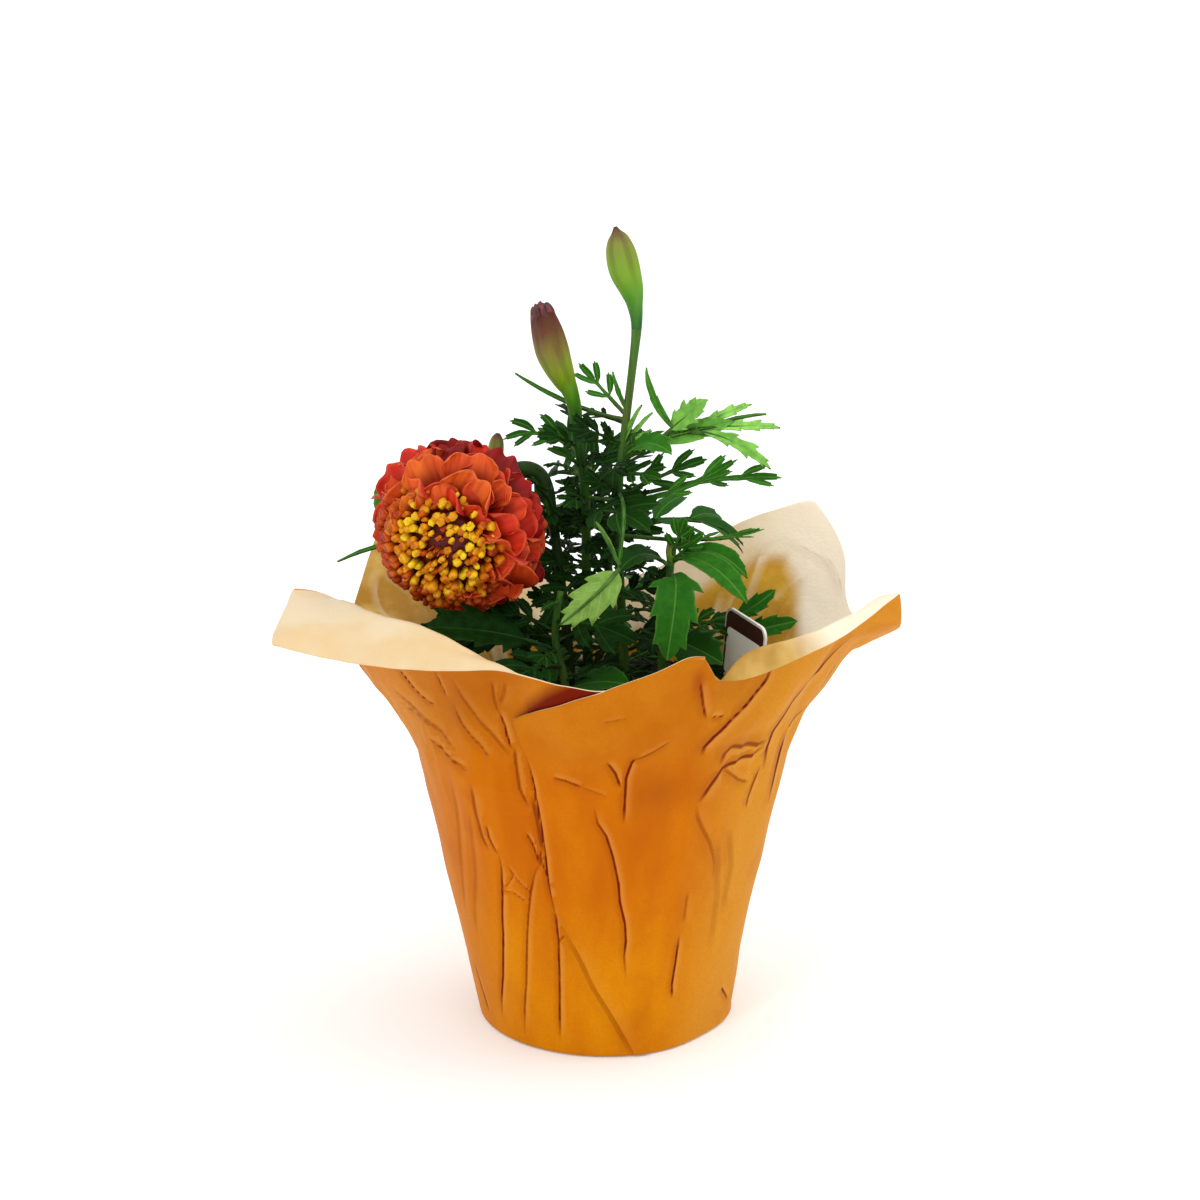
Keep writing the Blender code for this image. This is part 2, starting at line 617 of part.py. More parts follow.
def make_tag(name, thickness, grow, collection):
    """The printed stake label, standing in the soil and turned well away from the front."""
    curve = bpy.data.curves.new(name, "CURVE")
    curve.dimensions = "2D"
    curve.fill_mode = "BOTH"
    curve.extrude = thickness / 2 * MM
    outline = tag_outline(grow)
    spline = curve.splines.new("POLY")
    spline.points.add(len(outline) - 1)
    for point, (x, y) in zip(spline.points, outline):
        point.co = (x * MM, y * MM, 0, 1)
    spline.use_cyclic_u = True
    tag = add_object(name, curve, collection)
    across = Vector((0.45, -0.89, -0.05)).normalized()
    along = Vector((0.02, 0.10, 1)).normalized()
    facing = across.cross(along).normalized()
    along = facing.cross(across)
    tag.matrix_world = Matrix.Translation(Vector((31.0, -20.2, 42.5)) * MM) @ Matrix(
        (across, along, facing)
    ).transposed().to_4x4()
    bpy.context.view_layer.update()
    return baked(tag)


# Leafy stems

def smooth_line(line, steps):
    """Points on a smooth curve through the line's points, radius included."""
    made = []
    for i in range(len(line) - 1):
        before, start = Vector(line[max(i - 1, 0)]), Vector(line[i])
        end, beyond = Vector(line[i + 1]), Vector(line[min(i + 2, len(line) - 1)])
        for k in range(steps):
            t = k / steps
            made.append(
                (2 * start + (end - before) * t
                 + (2 * before - 5 * start + 4 * end - beyond) * t**2
                 + (3 * start - before - 3 * end + beyond) * t**3) / 2
            )
    return made + [Vector(line[-1])]


def point_on_stem(line, height):
    """The first point of the stem's centre line at that height."""
    points = smooth_line(line, 8)
    for low, high in zip(points, points[1:]):
        if low.z <= height <= high.z:
            share = (height - low.z) / (high.z - low.z)
            return low.lerp(high, share).to_3d()
    return points[-1].to_3d()


def make_stem(name, line, collection):
    curve = bpy.data.curves.new(name, "CURVE")
    curve.dimensions = "3D"
    curve.bevel_depth = MM
    curve.bevel_resolution = 1
    curve.use_fill_caps = True
    spline = curve.splines.new("POLY")
    points = [Vector(p) for p in line]
    spline.points.add(len(points) - 1)
    for knot, (x, y, z, radius) in zip(spline.points, points):
        knot.co = (x * MM, y * MM, z * MM, 1)
        knot.radius = radius
    return baked(add_object(name, curve, collection))


def leaf_sheet(kind, length, root):
    """Flat leaf with its leaflets cut to the rib: points along and across it in mm, and faces."""
    form = LEAF_KINDS[kind]
    if "margin" in form:
        points = [(-root, STALK_HALF_WIDTH), (-root, -STALK_HALF_WIDTH)]
        for x, y in form["margin"][:-1]:
            if x * length > points[-1][0]:
                half = max(STALK_HALF_WIDTH, y * length)
                points += [(x * length, half), (x * length, -half)]
        faces = [(k, k + 1, k + 3, k + 2) for k in range(0, len(points) - 2, 2)]
        faces.append((len(points) - 2, len(points) - 1, len(points)))
        return points + [(length, 0)], faces
    rib = form["rib"] * length
    stations = [-root, form["pairs"][0][0] * STALK_SHARE * length]
    for station, _, _, width in form["pairs"]:
        stations += [(station - width * 0.42) * length, (station + width * 0.42) * length]
    start, terminal_width = form["terminal"]
    stations.append(start * length)
    points, faces = [], []
    for i, x in enumerate(stations):
        half = STALK_HALF_WIDTH if i < 2 else rib
        points += [(x, half), (x, -half)]
    for i in range(len(stations) - 1):
        faces.append((2 * i, 2 * i + 1, 2 * i + 3, 2 * i + 2))

    def add_leaflet(back, front, origin, angle, reach, width, sections):
        along = Vector((math.cos(angle), math.sin(angle)))
        across = Vector((-math.sin(angle), math.cos(angle)))
        for share, half in sections:
            centre = origin + along * reach * share
            points.append(tuple(centre + across * half * width))
            points.append(tuple(centre - across * half * width))
            faces.append((back, front, len(points) - 1, len(points) - 2))
            back, front = len(points) - 2, len(points) - 1
        points.append(tuple(origin + along * reach))
        faces.append((back, front, len(points) - 1))

    for i, (station, reach, angle, width) in enumerate(form["pairs"]):
        low, high = 2 * (2 * i + 2), 2 * (2 * i + 3)
        turn = math.radians(angle)
        for side in (1, -1):
            origin = Vector((station * length, side * rib))
            pair = (low, high) if side > 0 else (high + 1, low + 1)
            add_leaflet(*pair, origin, side * turn, reach * length, width * length, LEAFLET_TEETH)
    last = 2 * (len(stations) - 1)
    add_leaflet(
        last, last + 1, Vector((start * length, 0)), 0, (1 - start) * length,
        terminal_width * length, TERMINAL_TEETH,
    )
    return points, faces


class Bend:
    """A curve from base to tip and the leaf's own axes along it, for points of the flat leaf.

    The curve is drawn by one more point, or arches by an angle towards the way the leaf faces.
    """

    def __init__(self, base, tip, facing, curve):
        facing = Vector(facing)
        if isinstance(curve, (int, float)):
            span = tip - base
            ahead = span.normalized()
            back = (facing - ahead * facing.dot(ahead)).normalized()
            curve = (base + tip) / 2 + back * span.length / 2 * math.tan(math.radians(curve) / 2)
        shares = np.linspace(0, 1, 25)[:, None]
        base, tip, curve = (np.array(p, dtype=float) for p in (base, tip, curve))
        self.line = base * (1 - shares) ** 2 + curve * 2 * shares * (1 - shares) + tip * shares**2
        ahead = (curve - base) * (1 - shares) + (tip - curve) * shares
        self.ahead = ahead / np.linalg.norm(ahead, axis=1, keepdims=True)
        steps = np.linalg.norm(np.diff(self.line, axis=0), axis=1)
        self.at = np.concatenate([[0], np.cumsum(steps)])
        self.length = float(self.at[-1])
        self.facing = np.array(facing, dtype=float)

    def at_share(self, share):
        return Vector([np.interp(share * self.length, self.at, self.line[:, k]) for k in range(3)])

    def place(self, points):
        x, y = np.array(points, dtype=float).T
        here = np.stack([np.interp(x, self.at, self.line[:, k]) for k in range(3)], axis=1)
        ahead = np.stack([np.interp(x, self.at, self.ahead[:, k]) for k in range(3)], axis=1)
        here += ahead * np.minimum(x, 0)[:, None]
        across = np.cross(self.facing, ahead)
        across /= np.linalg.norm(across, axis=1, keepdims=True)
        rise = LEAF_FOLD * np.abs(y) - 0.012 * y * y
        return here + across * y[:, None] + np.cross(ahead, across) * rise[:, None]


def make_leaf(name, curve, kind, collection):
    points, faces = leaf_sheet(kind, curve.length, LEAF_ROOT)
    leaf = mesh_object(name, curve.place(points), faces, collection)
    return baked(solidified(leaf, LEAF_THICKNESS, 0))


def make_leafy_stem(name, collection):
    pieces, curves = [make_stem(name, STEMS[name], collection)], []
    for i, (place, tip, kind, facing, curve) in enumerate(LEAVES[name]):
        if isinstance(place, tuple):
            base = curves[place[0]].at_share(place[1])
        else:
            base = point_on_stem(STEMS[name], place)
        curves.append(Bend(base, Vector(tip), facing, curve))
        pieces.append(make_leaf(f"{name}_leaf_{i}", curves[-1], kind, collection))
    return finish(combine(name, pieces, "UNION"), "leaf_green")


# Bloom

def bloom_frame():
    """Directions across the bloom, first the one to its upper right, and the way it faces."""
    up = Vector((0.59, 0.24, 0.77))
    up = (up - BLOOM_AXIS * up.dot(BLOOM_AXIS)).normalized()
    return up, BLOOM_AXIS.cross(up), BLOOM_AXIS


def bloom_direction(azimuth, polar):
    up, side, axis = bloom_frame()
    turn, lean = math.radians(azimuth), math.radians(polar)
    radial = up * math.cos(turn) + side * math.sin(turn)
    return radial * math.sin(lean) + axis * math.cos(lean), radial


def make_petal(name, azimuth, polar, length, width, collection):
    """One ray petal: narrow at its root, broad and cupped towards its blunt tip."""
    out, radial = bloom_direction(azimuth, polar)
    across = BLOOM_AXIS.cross(radial)
    start = BLOOM_SEAT + radial * (RECEPTACLE_RADIUS - 2.2)
    end = BLOOM_SEAT + out * length
    knee = BLOOM_SEAT + radial * RECEPTACLE_RADIUS + (out + BLOOM_AXIS * 0.6) * length * 0.35
    points = []
    for t, spread, notch in ((0, 0.09, 0), (0.38, 0.28, 0), (0.75, 0.5, 0), (1, 0.34, 0.09)):
        centre = start * (1 - t) ** 2 + knee * 2 * t * (1 - t) + end * t**2
        edge_lift = BLOOM_AXIS * width * 0.16 * t
        for side in (-1, 0, 1):
            shift = across * side * spread * width
            tuck = (start - end) * notch if side == 0 else edge_lift
            points.append(centre + shift + tuck)
    faces = []
    for row in range(3):
        for column in range(2):
            corner = row * 3 + column
            faces.append((corner, corner + 1, corner + 4, corner + 3))
    return baked(solidified(mesh_object(name, points, faces, collection), PETAL_THICKNESS, 0))


def turned_core(name, outline, sides, collection):
    """A solid of revolution about the bloom's axis: radius and distance along it, top first."""
    mesh = bpy.data.meshes.new(name)
    edges = [(i, i + 1) for i in range(len(outline) - 1)]
    mesh.from_pydata([Vector((r, 0, z)) * MM for r, z in outline], edges, [])
    core = add_object(name, mesh, collection)
    turn = core.modifiers.new("Turn", "SCREW")
    turn.steps = turn.render_steps = sides
    turn.use_merge_vertices = True
    turn.merge_threshold = 0.00001
    turned = Matrix(bloom_frame()).transposed().to_4x4()
    core.matrix_world = Matrix.Translation(BLOOM_SEAT * MM) @ turned
    bpy.context.view_layer.update()
    return baked(core)


def make_petals(collection):
    draw = random.Random(SEED + 2)
    outline = [(0, 1), (RECEPTACLE_RADIUS, 1), (RECEPTACLE_RADIUS, -1), (4.8, -2.2), (0, -2.2)]
    pieces = [turned_core("bloom_petals", outline, 14, collection)]
    for ring, (count, arc, polar, length, width) in enumerate(PETAL_RINGS):
        for i in range(count):
            azimuth = arc * ((i + 0.5) / count - 0.5) + draw.uniform(-4, 4)
            lean = polar + draw.uniform(0, 6)
            reach = length * draw.uniform(0.94, 1.04)
            name = f"petal_{ring}_{i}"
            pieces.append(make_petal(name, azimuth, lean, reach, width, collection))
    return finish(combine("bloom_petals", pieces, "UNION"), "petal_orange")


def make_floret(name, azimuth, polar, reach, collection):
    """A tubular floret: it stands on the core and widens to a blunt head."""
    out, _ = bloom_direction(azimuth, polar)
    root = BLOOM_SEAT + out * (CORE_RADIUS - 1.2)
    centre = BLOOM_SEAT + out * reach
    side = out.orthogonal().normalized()
    other = out.cross(side)
    points, faces = [], []
    for middle, radius in ((root, 1.0), (centre - out * 1.2, FLORET_HEAD), (centre, 0.9)):
        for i in range(FLORET_SIDES):
            turn = 2 * math.pi * i / FLORET_SIDES
            spoke = side * math.cos(turn) + other * math.sin(turn)
            points.append(middle + spoke * radius)
    for ring in (0, 1):
        low, high = ring * FLORET_SIDES, (ring + 1) * FLORET_SIDES
        for i in range(FLORET_SIDES):
            beyond = (i + 1) % FLORET_SIDES
            faces.append((low + i, low + beyond, high + beyond, high + i))
    faces.append(tuple(reversed(range(FLORET_SIDES))))
    faces.append(tuple(range(2 * FLORET_SIDES, 3 * FLORET_SIDES)))
    return mesh_object(name, points, faces, collection)


def make_florets(collection):
    draw = random.Random(SEED + 2)
    floor = 1 + GAP
    leans = [math.radians(a) for a in (0, 19, 37, 54)]
    dome = [(CORE_RADIUS * math.sin(a), CORE_RADIUS * math.cos(a)) for a in leans]
    pieces = [turned_core("bloom_florets", dome + [(3.4, floor), (0, floor)], 14, collection)]
    for i in range(FLORET_COUNT):
        polar = FLORET_SPREAD * math.sqrt((i + 0.5) / FLORET_COUNT)
        azimuth = 137.5 * i
        reach = FLORET_REACH + draw.uniform(-1.2, 1.0)
        pieces.append(make_floret(f"floret_{i}", azimuth, polar, reach, collection))
    return finish(combine("bloom_florets", pieces, "UNION"), "floret_yellow")


def make_bud_petals(collection):
    """Folded petal tips just showing in the mouth of the left bud."""
    line = STEMS["stem_left_bud"]
    mouth, below = Vector(line[-1][:3]), Vector(line[-3][:3])
    axis = (mouth - below).normalized()
    side = axis.orthogonal().normalized()
    other = axis.cross(side)
    teeth = 7
    points = [mouth + axis * GAP, mouth + axis * 2.0]
    for i in range(2 * teeth):
        turn = math.pi * i / teeth
        spoke = side * math.cos(turn) + other * math.sin(turn)
        high = 3.1 if i % 2 == 0 else 1.6
        points.append(mouth + axis * GAP + spoke * 2.9)
        points.append(mouth + axis * high + spoke * 2.2)
    faces = []
    for i in range(2 * teeth):
        here, beyond = 2 + 2 * i, 2 + 2 * ((i + 1) % (2 * teeth))
        faces += [(0, beyond, here), (here, beyond, beyond + 1, here + 1), (1, here + 1, beyond + 1)]
    return finish(mesh_object("left_bud_petals", points, faces, collection), "bud_red")


def main():
    clear_scene()
    scene = bpy.context.scene
    plant = bpy.data.collections.new("potted_marigold")
    cutters = bpy.data.collections.new("cutters")
    scene.collection.children.link(plant)
    scene.collection.children.link(cutters)
    make_cover(plant)
    make_nursery_pot(plant)
    make_soil(plant, make_tag("tag_slot", TAG_THICKNESS + 2 * GAP, GAP, cutters))
    finish(make_tag("plant_tag", TAG_THICKNESS, 0, plant), "tag_plastic")
    for name in STEMS:
        make_leafy_stem(name, plant)
    make_petals(plant)
    make_florets(plant)
    make_bud_petals(plant)


main()
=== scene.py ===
"""The dressed look of a potted French marigold in a flared paper pot cover, in metres, +Z up.

The layout is the plain part's own: the same stems, leaves, flare and bloom in millimetres, with
azimuths in degrees from the front (-Y) towards +X. Each solid is replaced by a finer piece.
"""

import math
import random

import bmesh
import bpy
import numpy as np
from mathutils import Matrix, Vector, noise


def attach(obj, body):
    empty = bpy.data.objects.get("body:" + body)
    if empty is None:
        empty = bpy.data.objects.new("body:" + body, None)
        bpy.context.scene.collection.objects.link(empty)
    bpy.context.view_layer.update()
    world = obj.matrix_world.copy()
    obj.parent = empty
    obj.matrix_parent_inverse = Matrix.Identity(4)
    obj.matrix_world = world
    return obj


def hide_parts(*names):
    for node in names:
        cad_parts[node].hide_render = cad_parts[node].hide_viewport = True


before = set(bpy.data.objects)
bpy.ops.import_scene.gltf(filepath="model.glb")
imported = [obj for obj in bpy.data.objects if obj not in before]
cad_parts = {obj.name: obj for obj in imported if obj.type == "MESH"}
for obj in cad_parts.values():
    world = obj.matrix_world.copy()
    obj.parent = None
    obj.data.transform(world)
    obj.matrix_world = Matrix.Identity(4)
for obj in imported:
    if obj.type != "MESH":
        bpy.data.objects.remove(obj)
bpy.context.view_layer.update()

MM = 0.001
SEED = 20

# Driving dimensions, mm
BASE_RADIUS = 35.2
NECK_RADIUS = 53.0
NECK_HEIGHT = 80.0
PAPER = 0.35
PLEAT_HEIGHT = 1.3
POT_TOP_RADIUS = 48.1
POT_WALL = 1.0
POT_HEIGHT = 86.0
POT_FLOOR_HEIGHT = 1.15
SOIL_TOP = 72.0
SOIL_GAP = 1.35
STEM_FOOT = 46.0
TAG_WIDTH = 21.0
TAG_FOOT = 8.0
TAG_LENGTH = 78.0
BLADE = 0.22
PETAL = 0.25
# How much of a crease's depth is modelled, and how far down the plain bottom counts for the painted shade of
# the lining
CREASE_SHARE = 0.24
INNER_DEPTH = 80.0

# The flare of the cover at each azimuth: middle radius and height, rim radius and height, how far
# the lip arches up between them, and 1 where the sheet has a sharp turn at one of its corners
FLARE = [
    (0, 58, 98, 64, 114, 0, 0), (11, 58.5, 100, 64.3, 118.2, 0, 0), (18, 59, 102, 65.3, 121.8, 0, 0),
    (22.5, 59, 102, 65, 121.4, 0, 1), (25.5, 58.5, 100, 64.8, 115, 1, 1), (32, 59, 99, 67.2, 115, 11.5, 0),
    (44, 60, 101, 71.5, 119, 11, 0), (55, 62, 107, 76.3, 123.4, 7.5, 0), (66, 64, 112, 83, 130.3, 4, 1),
    (75, 67, 111, 80.5, 119, 1, 0), (87, 65.8, 104.5, 77.4, 111, 0, 0), (98, 63.6, 101, 73, 107, 0, 0),
    (110, 61, 99, 71.5, 110, 0, 0), (122, 63, 104, 79.5, 120, 0, 0), (136, 65, 107, 86, 130, 0, 1),
    (150, 62, 102, 78, 121, 0, 0), (165, 58, 96, 69, 109, 0, 0), (180, 57, 93, 66, 104, 0, 0),
    (200, 58, 95, 70, 107, 0, 0), (215, 61, 100, 79, 113, 0, 0), (228, 63, 103, 88.5, 120, 0, 1),
    (240, 62, 100, 81.5, 107, 0, 0), (254, 62, 101, 76, 104, 1, 0), (268, 67.6, 114, 84, 121, 2, 1),
    (282, 69, 121, 87, 120.3, 1.5, 0), (296, 67, 123.5, 95.5, 119, 1, 1), (304, 64.5, 123.5, 85, 117, 1, 0),
    (313, 61.5, 122.5, 77, 116.5, 1.5, 0), (324, 59.5, 119, 69.5, 116.8, 2, 0),
    (336, 57.5, 111, 65, 117.6, 2.5, 0), (350, 58, 98, 64, 115, 0, 0),
]
# How far the paper swells out at shares of the way from its neck to the middle of its flare, at the
# left and at the right
SWELLS = [(0.3, 4.3, -0.4), (0.62, 7.7, 1), (1, 0, 0)]
# How far the wall sags inwards of a straight cone: height, at the left and at the right
WALL_SAG = [(0, 0, 0.2), (20, 0.4, 1.8), (40, 0.7, 2.6), (60, 1.2, 2.5), (70, 1.6, 2.6), (80, 1.4, 3.0)]
# The free edge of the overlapping front panel from the top down, then its top edge
PANEL_EDGE = [
    (-25.5, 102), (-24.5, 95), (-22.5, 90), (-20.5, 82.5), (-19.5, 73), (-18.7, 62), (-18.3, 54),
    (-17, 45), (-13.6, 39), (-8, 29.8), (-4, 22.5), (4.2, 11.8), (12.5, 0.6),
]
PANEL_TOP = [(-25.5, 102), (-11, 109.5), (0, 114.4), (11, 118.8), (18, 122.2), (22.5, 121.8)]
# The shadow that the panel's edge casts on the sheet below it: a dark line, then a soft band
PANEL_SHADOW = [
    (0.5, 0, 1, [(azimuth - 0.7, height) for azimuth, height in PANEL_EDGE[2:8]]),
    (0.9, 0, 0.6, [(-22.2, 80), (-21.2, 72), (-20.2, 63)]),
    (1.1, 0, 0.3, [(azimuth - 1.4, height) for azimuth, height in PANEL_EDGE[8:]]),
]
# Creases of the paper as half width and depth in mm, how dark their painted shade is, and the points as
# azimuth and height
CREASES = [
    (0.55, 0.45, 1, [(-64, 109), (-60.5, 103), (-58, 101), (-54, 99)]),
    (0.45, 0.35, 0.8, [(-51, 110), (-50, 105.5), (-49.5, 103)]),
    (0.9, 0.3, 0.4, [(-46, 109.5), (-42.5, 104), (-38, 99), (-33.5, 95), (-28, 90)]),
    (0.7, 0.4, 0.5, [(-47.5, 101.5), (-44, 96), (-37.5, 90.5), (-35, 88.5)]),
    (0.9, 0.25, 0.4, [(-70.5, 101), (-63, 96), (-54.5, 92), (-48.5, 87.5)]),
    (0.7, 0.2, 0.35, [(-70.5, 96.5), (-62, 94), (-52, 91)]),
    (0.8, 0.4, 0.65, [(-61, 89), (-55, 86.5), (-48, 84), (-43.5, 83.5)]),
    (0.7, 0.3, 0.45, [(-31, 112), (-31.5, 105.5), (-30.5, 102)]),
    (0.5, 0.4, 1, [(-30.7, 103.5), (-29.5, 99.5), (-29, 96), (-28, 92)]),
    (0.8, 0.2, 0.3, [(-26.5, 112.5), (-28, 108.5), (-30, 105)]),
    (0.7, 0.4, 0.6, [(-27, 93), (-27, 88.5), (-26, 81.5), (-23.5, 76)]),
    (0.9, 0.6, 0.55, [(-42.5, 80), (-43, 71), (-42, 64), (-40, 60.5)]),
    (0.55, 0.4, 0.75, [(-39.5, 68.5), (-39, 64.5), (-36.5, 60)]),
    (0.5, 0.4, 0.8, [(-25.5, 68.5), (-23.5, 65), (-21.5, 58.5)]),
    (0.55, 0.4, 0.7, [(-15, 86.5), (-11, 86), (-6.5, 84.5)]),
    (0.4, 0.2, 0.35, [(-7.5, 84.8), (0.5, 81.5)]),
    (0.5, 0.5, 0.9, [(0, 92.5), (2.5, 88.5), (4, 84)]),
    (0.5, 0.6, 0.95, [(8.5, 93), (7, 92), (5.5, 87), (5, 73.5)]),
    (0.45, 0.6, 0.95, [(-3.5, 79), (-2.5, 74), (0, 70), (2, 63.5), (4, 55), (4.5, 49.5), (6.5, 42.5),
                       (7, 37), (6.5, 32.5), (7.5, 25)]),
    (0.4, 0.2, 0.35, [(-1, 105), (5, 106)]),
    (0.5, 0.7, 1, [(-36, 61), (-36, 56), (-37.5, 46.5), (-40.5, 34.5), (-45, 20.5), (-49.5, 11.5),
                   (-51.5, 5.5)]),
    (0.45, 0.5, 0.7, [(-20.5, 61.5), (-24, 56), (-26, 50.5), (-29.5, 36.5), (-33, 20.5), (-38, 3)]),
    (0.45, 0.6, 0.95, [(-17.8, 50), (-17.5, 36), (-18.5, 22.5), (-20, 4.5)]),
    (0.4, 0.2, 0.6, [(-14.2, 39), (-17, 36)]),
    (0.5, 0.6, 1, [(28, 36.5), (28, 28), (27.5, 21), (28, 16.5)]),
    (0.7, 0.4, 0.35, [(29.5, 49.5), (29.5, 43), (29.5, 40)]),
    (0.5, 0.5, 0.9, [(-67.5, 19.5), (-66, 12), (-62.5, 5)]),
    (0.6, 0.6, 0.9, [(60, 13), (69.5, 7)]),
    (0.3, 0.2, 0.6, [(-33.5, 57.5), (-31.5, 55), (-33.5, 52), (-36, 50)]),
    (0.3, 0.2, 0.6, [(-34, 57), (-30.5, 53.5), (-26, 50), (-27.5, 47)]),
    (0.3, 0.2, 0.6, [(-36, 49), (-33, 49.5), (-27.5, 47)]),
    (0.45, 0.3, 0.8, [(-20, 65), (-21.5, 61.5), (-18.7, 54)]),
    (1, 1.3, 1, [(71, 116), (68.5, 110.5), (66.5, 106), (62, 104.2), (57.5, 101), (55, 97), (52.5, 93),
                 (53, 89.5), (54, 85), (54, 80.5)]),
    (0.85, 1.1, 1, [(43, 117), (41.5, 111), (36.5, 105), (32, 101.5), (28.5, 97.5), (27, 94), (27, 91)]),
    (0.8, 1, 1, [(73.5, 94), (68, 89.5), (63.7, 88), (63, 84), (62.5, 79), (62.5, 73.5), (62.5, 68)]),
    (1.2, 0.6, 0.7, [(52, 90), (46.5, 90.5), (36.5, 92), (34.5, 90.5), (34, 87)]),
    (1, 0.9, 0.85, [(51.5, 89), (46.5, 87), (41.5, 86.5), (35.5, 85.5), (33.5, 83), (30.5, 79.5), (28, 77)]),
    (0.7, 0.4, 0.5, [(35.5, 85.5), (41, 82), (44, 80), (48.5, 78.5)]),
    (0.6, 0.5, 0.75, [(52, 83), (50.5, 77.5), (49.5, 73), (49.5, 70.5)]),
    (0.5, 0.3, 1, [(26.5, 103.5), (30, 103.5)]),
    (0.6, 0.5, 0.85, [(22, 115), (23.5, 108.5), (25, 103.5)]),
    (0.9, 0.5, 0.4, [(27, 77), (29, 72), (31, 69), (35, 63.5), (38.5, 57), (40, 51)]),
    (0.5, 0.4, 0.5, [(7, 92), (12.5, 94.5), (17, 97)]),
    (1.6, 0.5, 0.2, [(42.5, 66.5), (48, 53), (49, 38)]),
    (1.8, 0.5, 0.18, [(37.5, 64.5), (44, 44.5), (45, 28)]),
    (1.2, 0.5, 0.25, [(-52, 80), (-56, 60), (-62, 36)]),
    (1.2, 0.5, 0.2, [(-46, 72), (-50, 50), (-57, 30)]),
    (0.8, 1.2, 0.35, [(112, 111), (124, 117), (139, 120)]),
    (0.7, 1, 0.3, [(124, 117), (130, 106), (134, 98)]),
    (0.7, 0.9, 0.3, [(232, 112), (246, 97), (258, 86)]),
    *PANEL_SHADOW,
]
# Centre lines of the stems: x, y, z and radius. Each begins in its hole in the soil, and a bud is
# the swelling at the end of its stem
STEMS = {
    "stem_right_bud": [
        (6, 4, STEM_FOOT, 1.5), (6, 4, 72, 1.5), (5, 4, 100, 1.3), (3.5, 3, 130, 1.2), (3.5, 1, 150, 1.1),
        (4.7, 0, 163, 1.1), (6.9, 0, 182, 1.1), (8, 0, 193, 1.4), (7.6, 0, 199, 2.1), (6.7, 0, 203.5, 3.3),
        (5, 0, 208.6, 4.3), (3.9, 0, 213.5, 4.1), (3.2, 0, 217, 2.9), (2.7, 0, 218.8, 1.3),
        (2.4, 0, 220, 0.5),
    ],
    "stem_left_bud": [
        (-4, 9, STEM_FOOT, 1.5), (-4, 9, 72, 1.5), (-5, 9, 100, 1.4), (-5.3, 7, 125, 1.3),
        (-5.6, 5, 147, 1.3), (-7.5, 3, 162, 1.4), (-8.3, 2, 171, 1.9), (-9.4, 1, 175.8, 2.3),
        (-10.9, 1, 179, 3.2), (-12.5, 0, 183, 4.1), (-13.9, 0, 187, 4.7), (-15.1, 0, 191.5, 4.5),
        (-16.1, 0, 195, 3.9), (-16.8, 0, 197.2, 3.3),
    ],
    "stem_bloom": [
        (-9, 2, STEM_FOOT, 1.5), (-9, 2, 72, 1.5), (-10, 3, 100, 1.4), (-12.5, 5, 125, 1.3),
        (-14.5, 6, 140, 1.5), (-15.8, 6, 147.5, 1.9), (-18.2, 6, 152, 2.2), (-22.3, 5.5, 153.3, 2.4),
        (-27, 3.8, 151.4, 2.5), (-31.6, 1.2, 147.4, 2.6), (-34.8, -2.4, 144.3, 3.2),
        (-36.1, -4.9, 143.2, 4.6), (-37.3, -7.3, 142.2, 5.4), (-37.8, -8.1, 141.8, 5.4),
    ],
    "stem_right": [
        (13, -6, STEM_FOOT, 1.3), (13, -6, 72, 1.3), (14.5, -8, 95, 1.2), (16, -10, 115, 1.1),
        (17, -11, 130, 1), (17.2, -11, 133, 1.2), (17.2, -11, 135.2, 1.5), (17, -11, 137.2, 1),
        (17, -11, 138, 0.5),
    ],
    "stem_front": [
        (-8, -17, STEM_FOOT, 1.2), (-8, -17, 72, 1.2), (-9, -20, 88, 1.1), (-11, -20, 102, 1.1),
        (-13.5, -18, 114, 1), (-12, -17, 126, 0.8),
    ],
    "stem_back": [
        (4, 18, STEM_FOOT, 1.4), (4, 18, 72, 1.4), (3, 20, 95, 1.3), (1, 21, 118, 1.2), (-1, 20, 138, 1.1),
        (-2, 19, 149, 0.8),
    ],
    "stem_left": [
        (-18, 14, STEM_FOOT, 1.3), (-18, 14, 72, 1.3), (-22, 15, 95, 1.2), (-26, 15, 118, 1.1),
        (-28.5, 14, 138, 1), (-29.7, 14, 149, 1), (-30, 14, 153, 1.7), (-29.8, 14, 156.5, 2.3),
        (-29.4, 14, 159.6, 1.8), (-29.1, 14, 161.2, 0.6),
    ],
}

# Leaves of several leaflets, in percent of the leaf's length: pairs of leaflets as station, length,
# angle in degrees and width, the half width of the winged midrib, where the leaflet at the tip
# begins and its width, and how many teeth each side of a leaflet has
FEATHERED = {
    "feather": ([(28, 27, 58, 13), (45, 34, 50, 14.5), (61, 34, 40, 15)], 2.4, (67, 17), 2),
    "short": ([(34, 36, 50, 15), (57, 38, 40, 16)], 3, (64, 19), 1),
    "narrow": ([(42, 24, 36, 7.5), (64, 27, 30, 8)], 2.6, (70, 10), 1),
    "wisp": ([(38, 34, 50, 9.5), (62, 32, 40, 9.5)], 2.2, (68, 11), 1),
    "ribbon": ([(56, 15, 28, 4), (76, 18, 25, 4.5)], 1.8, (78, 5.5), 1),
}
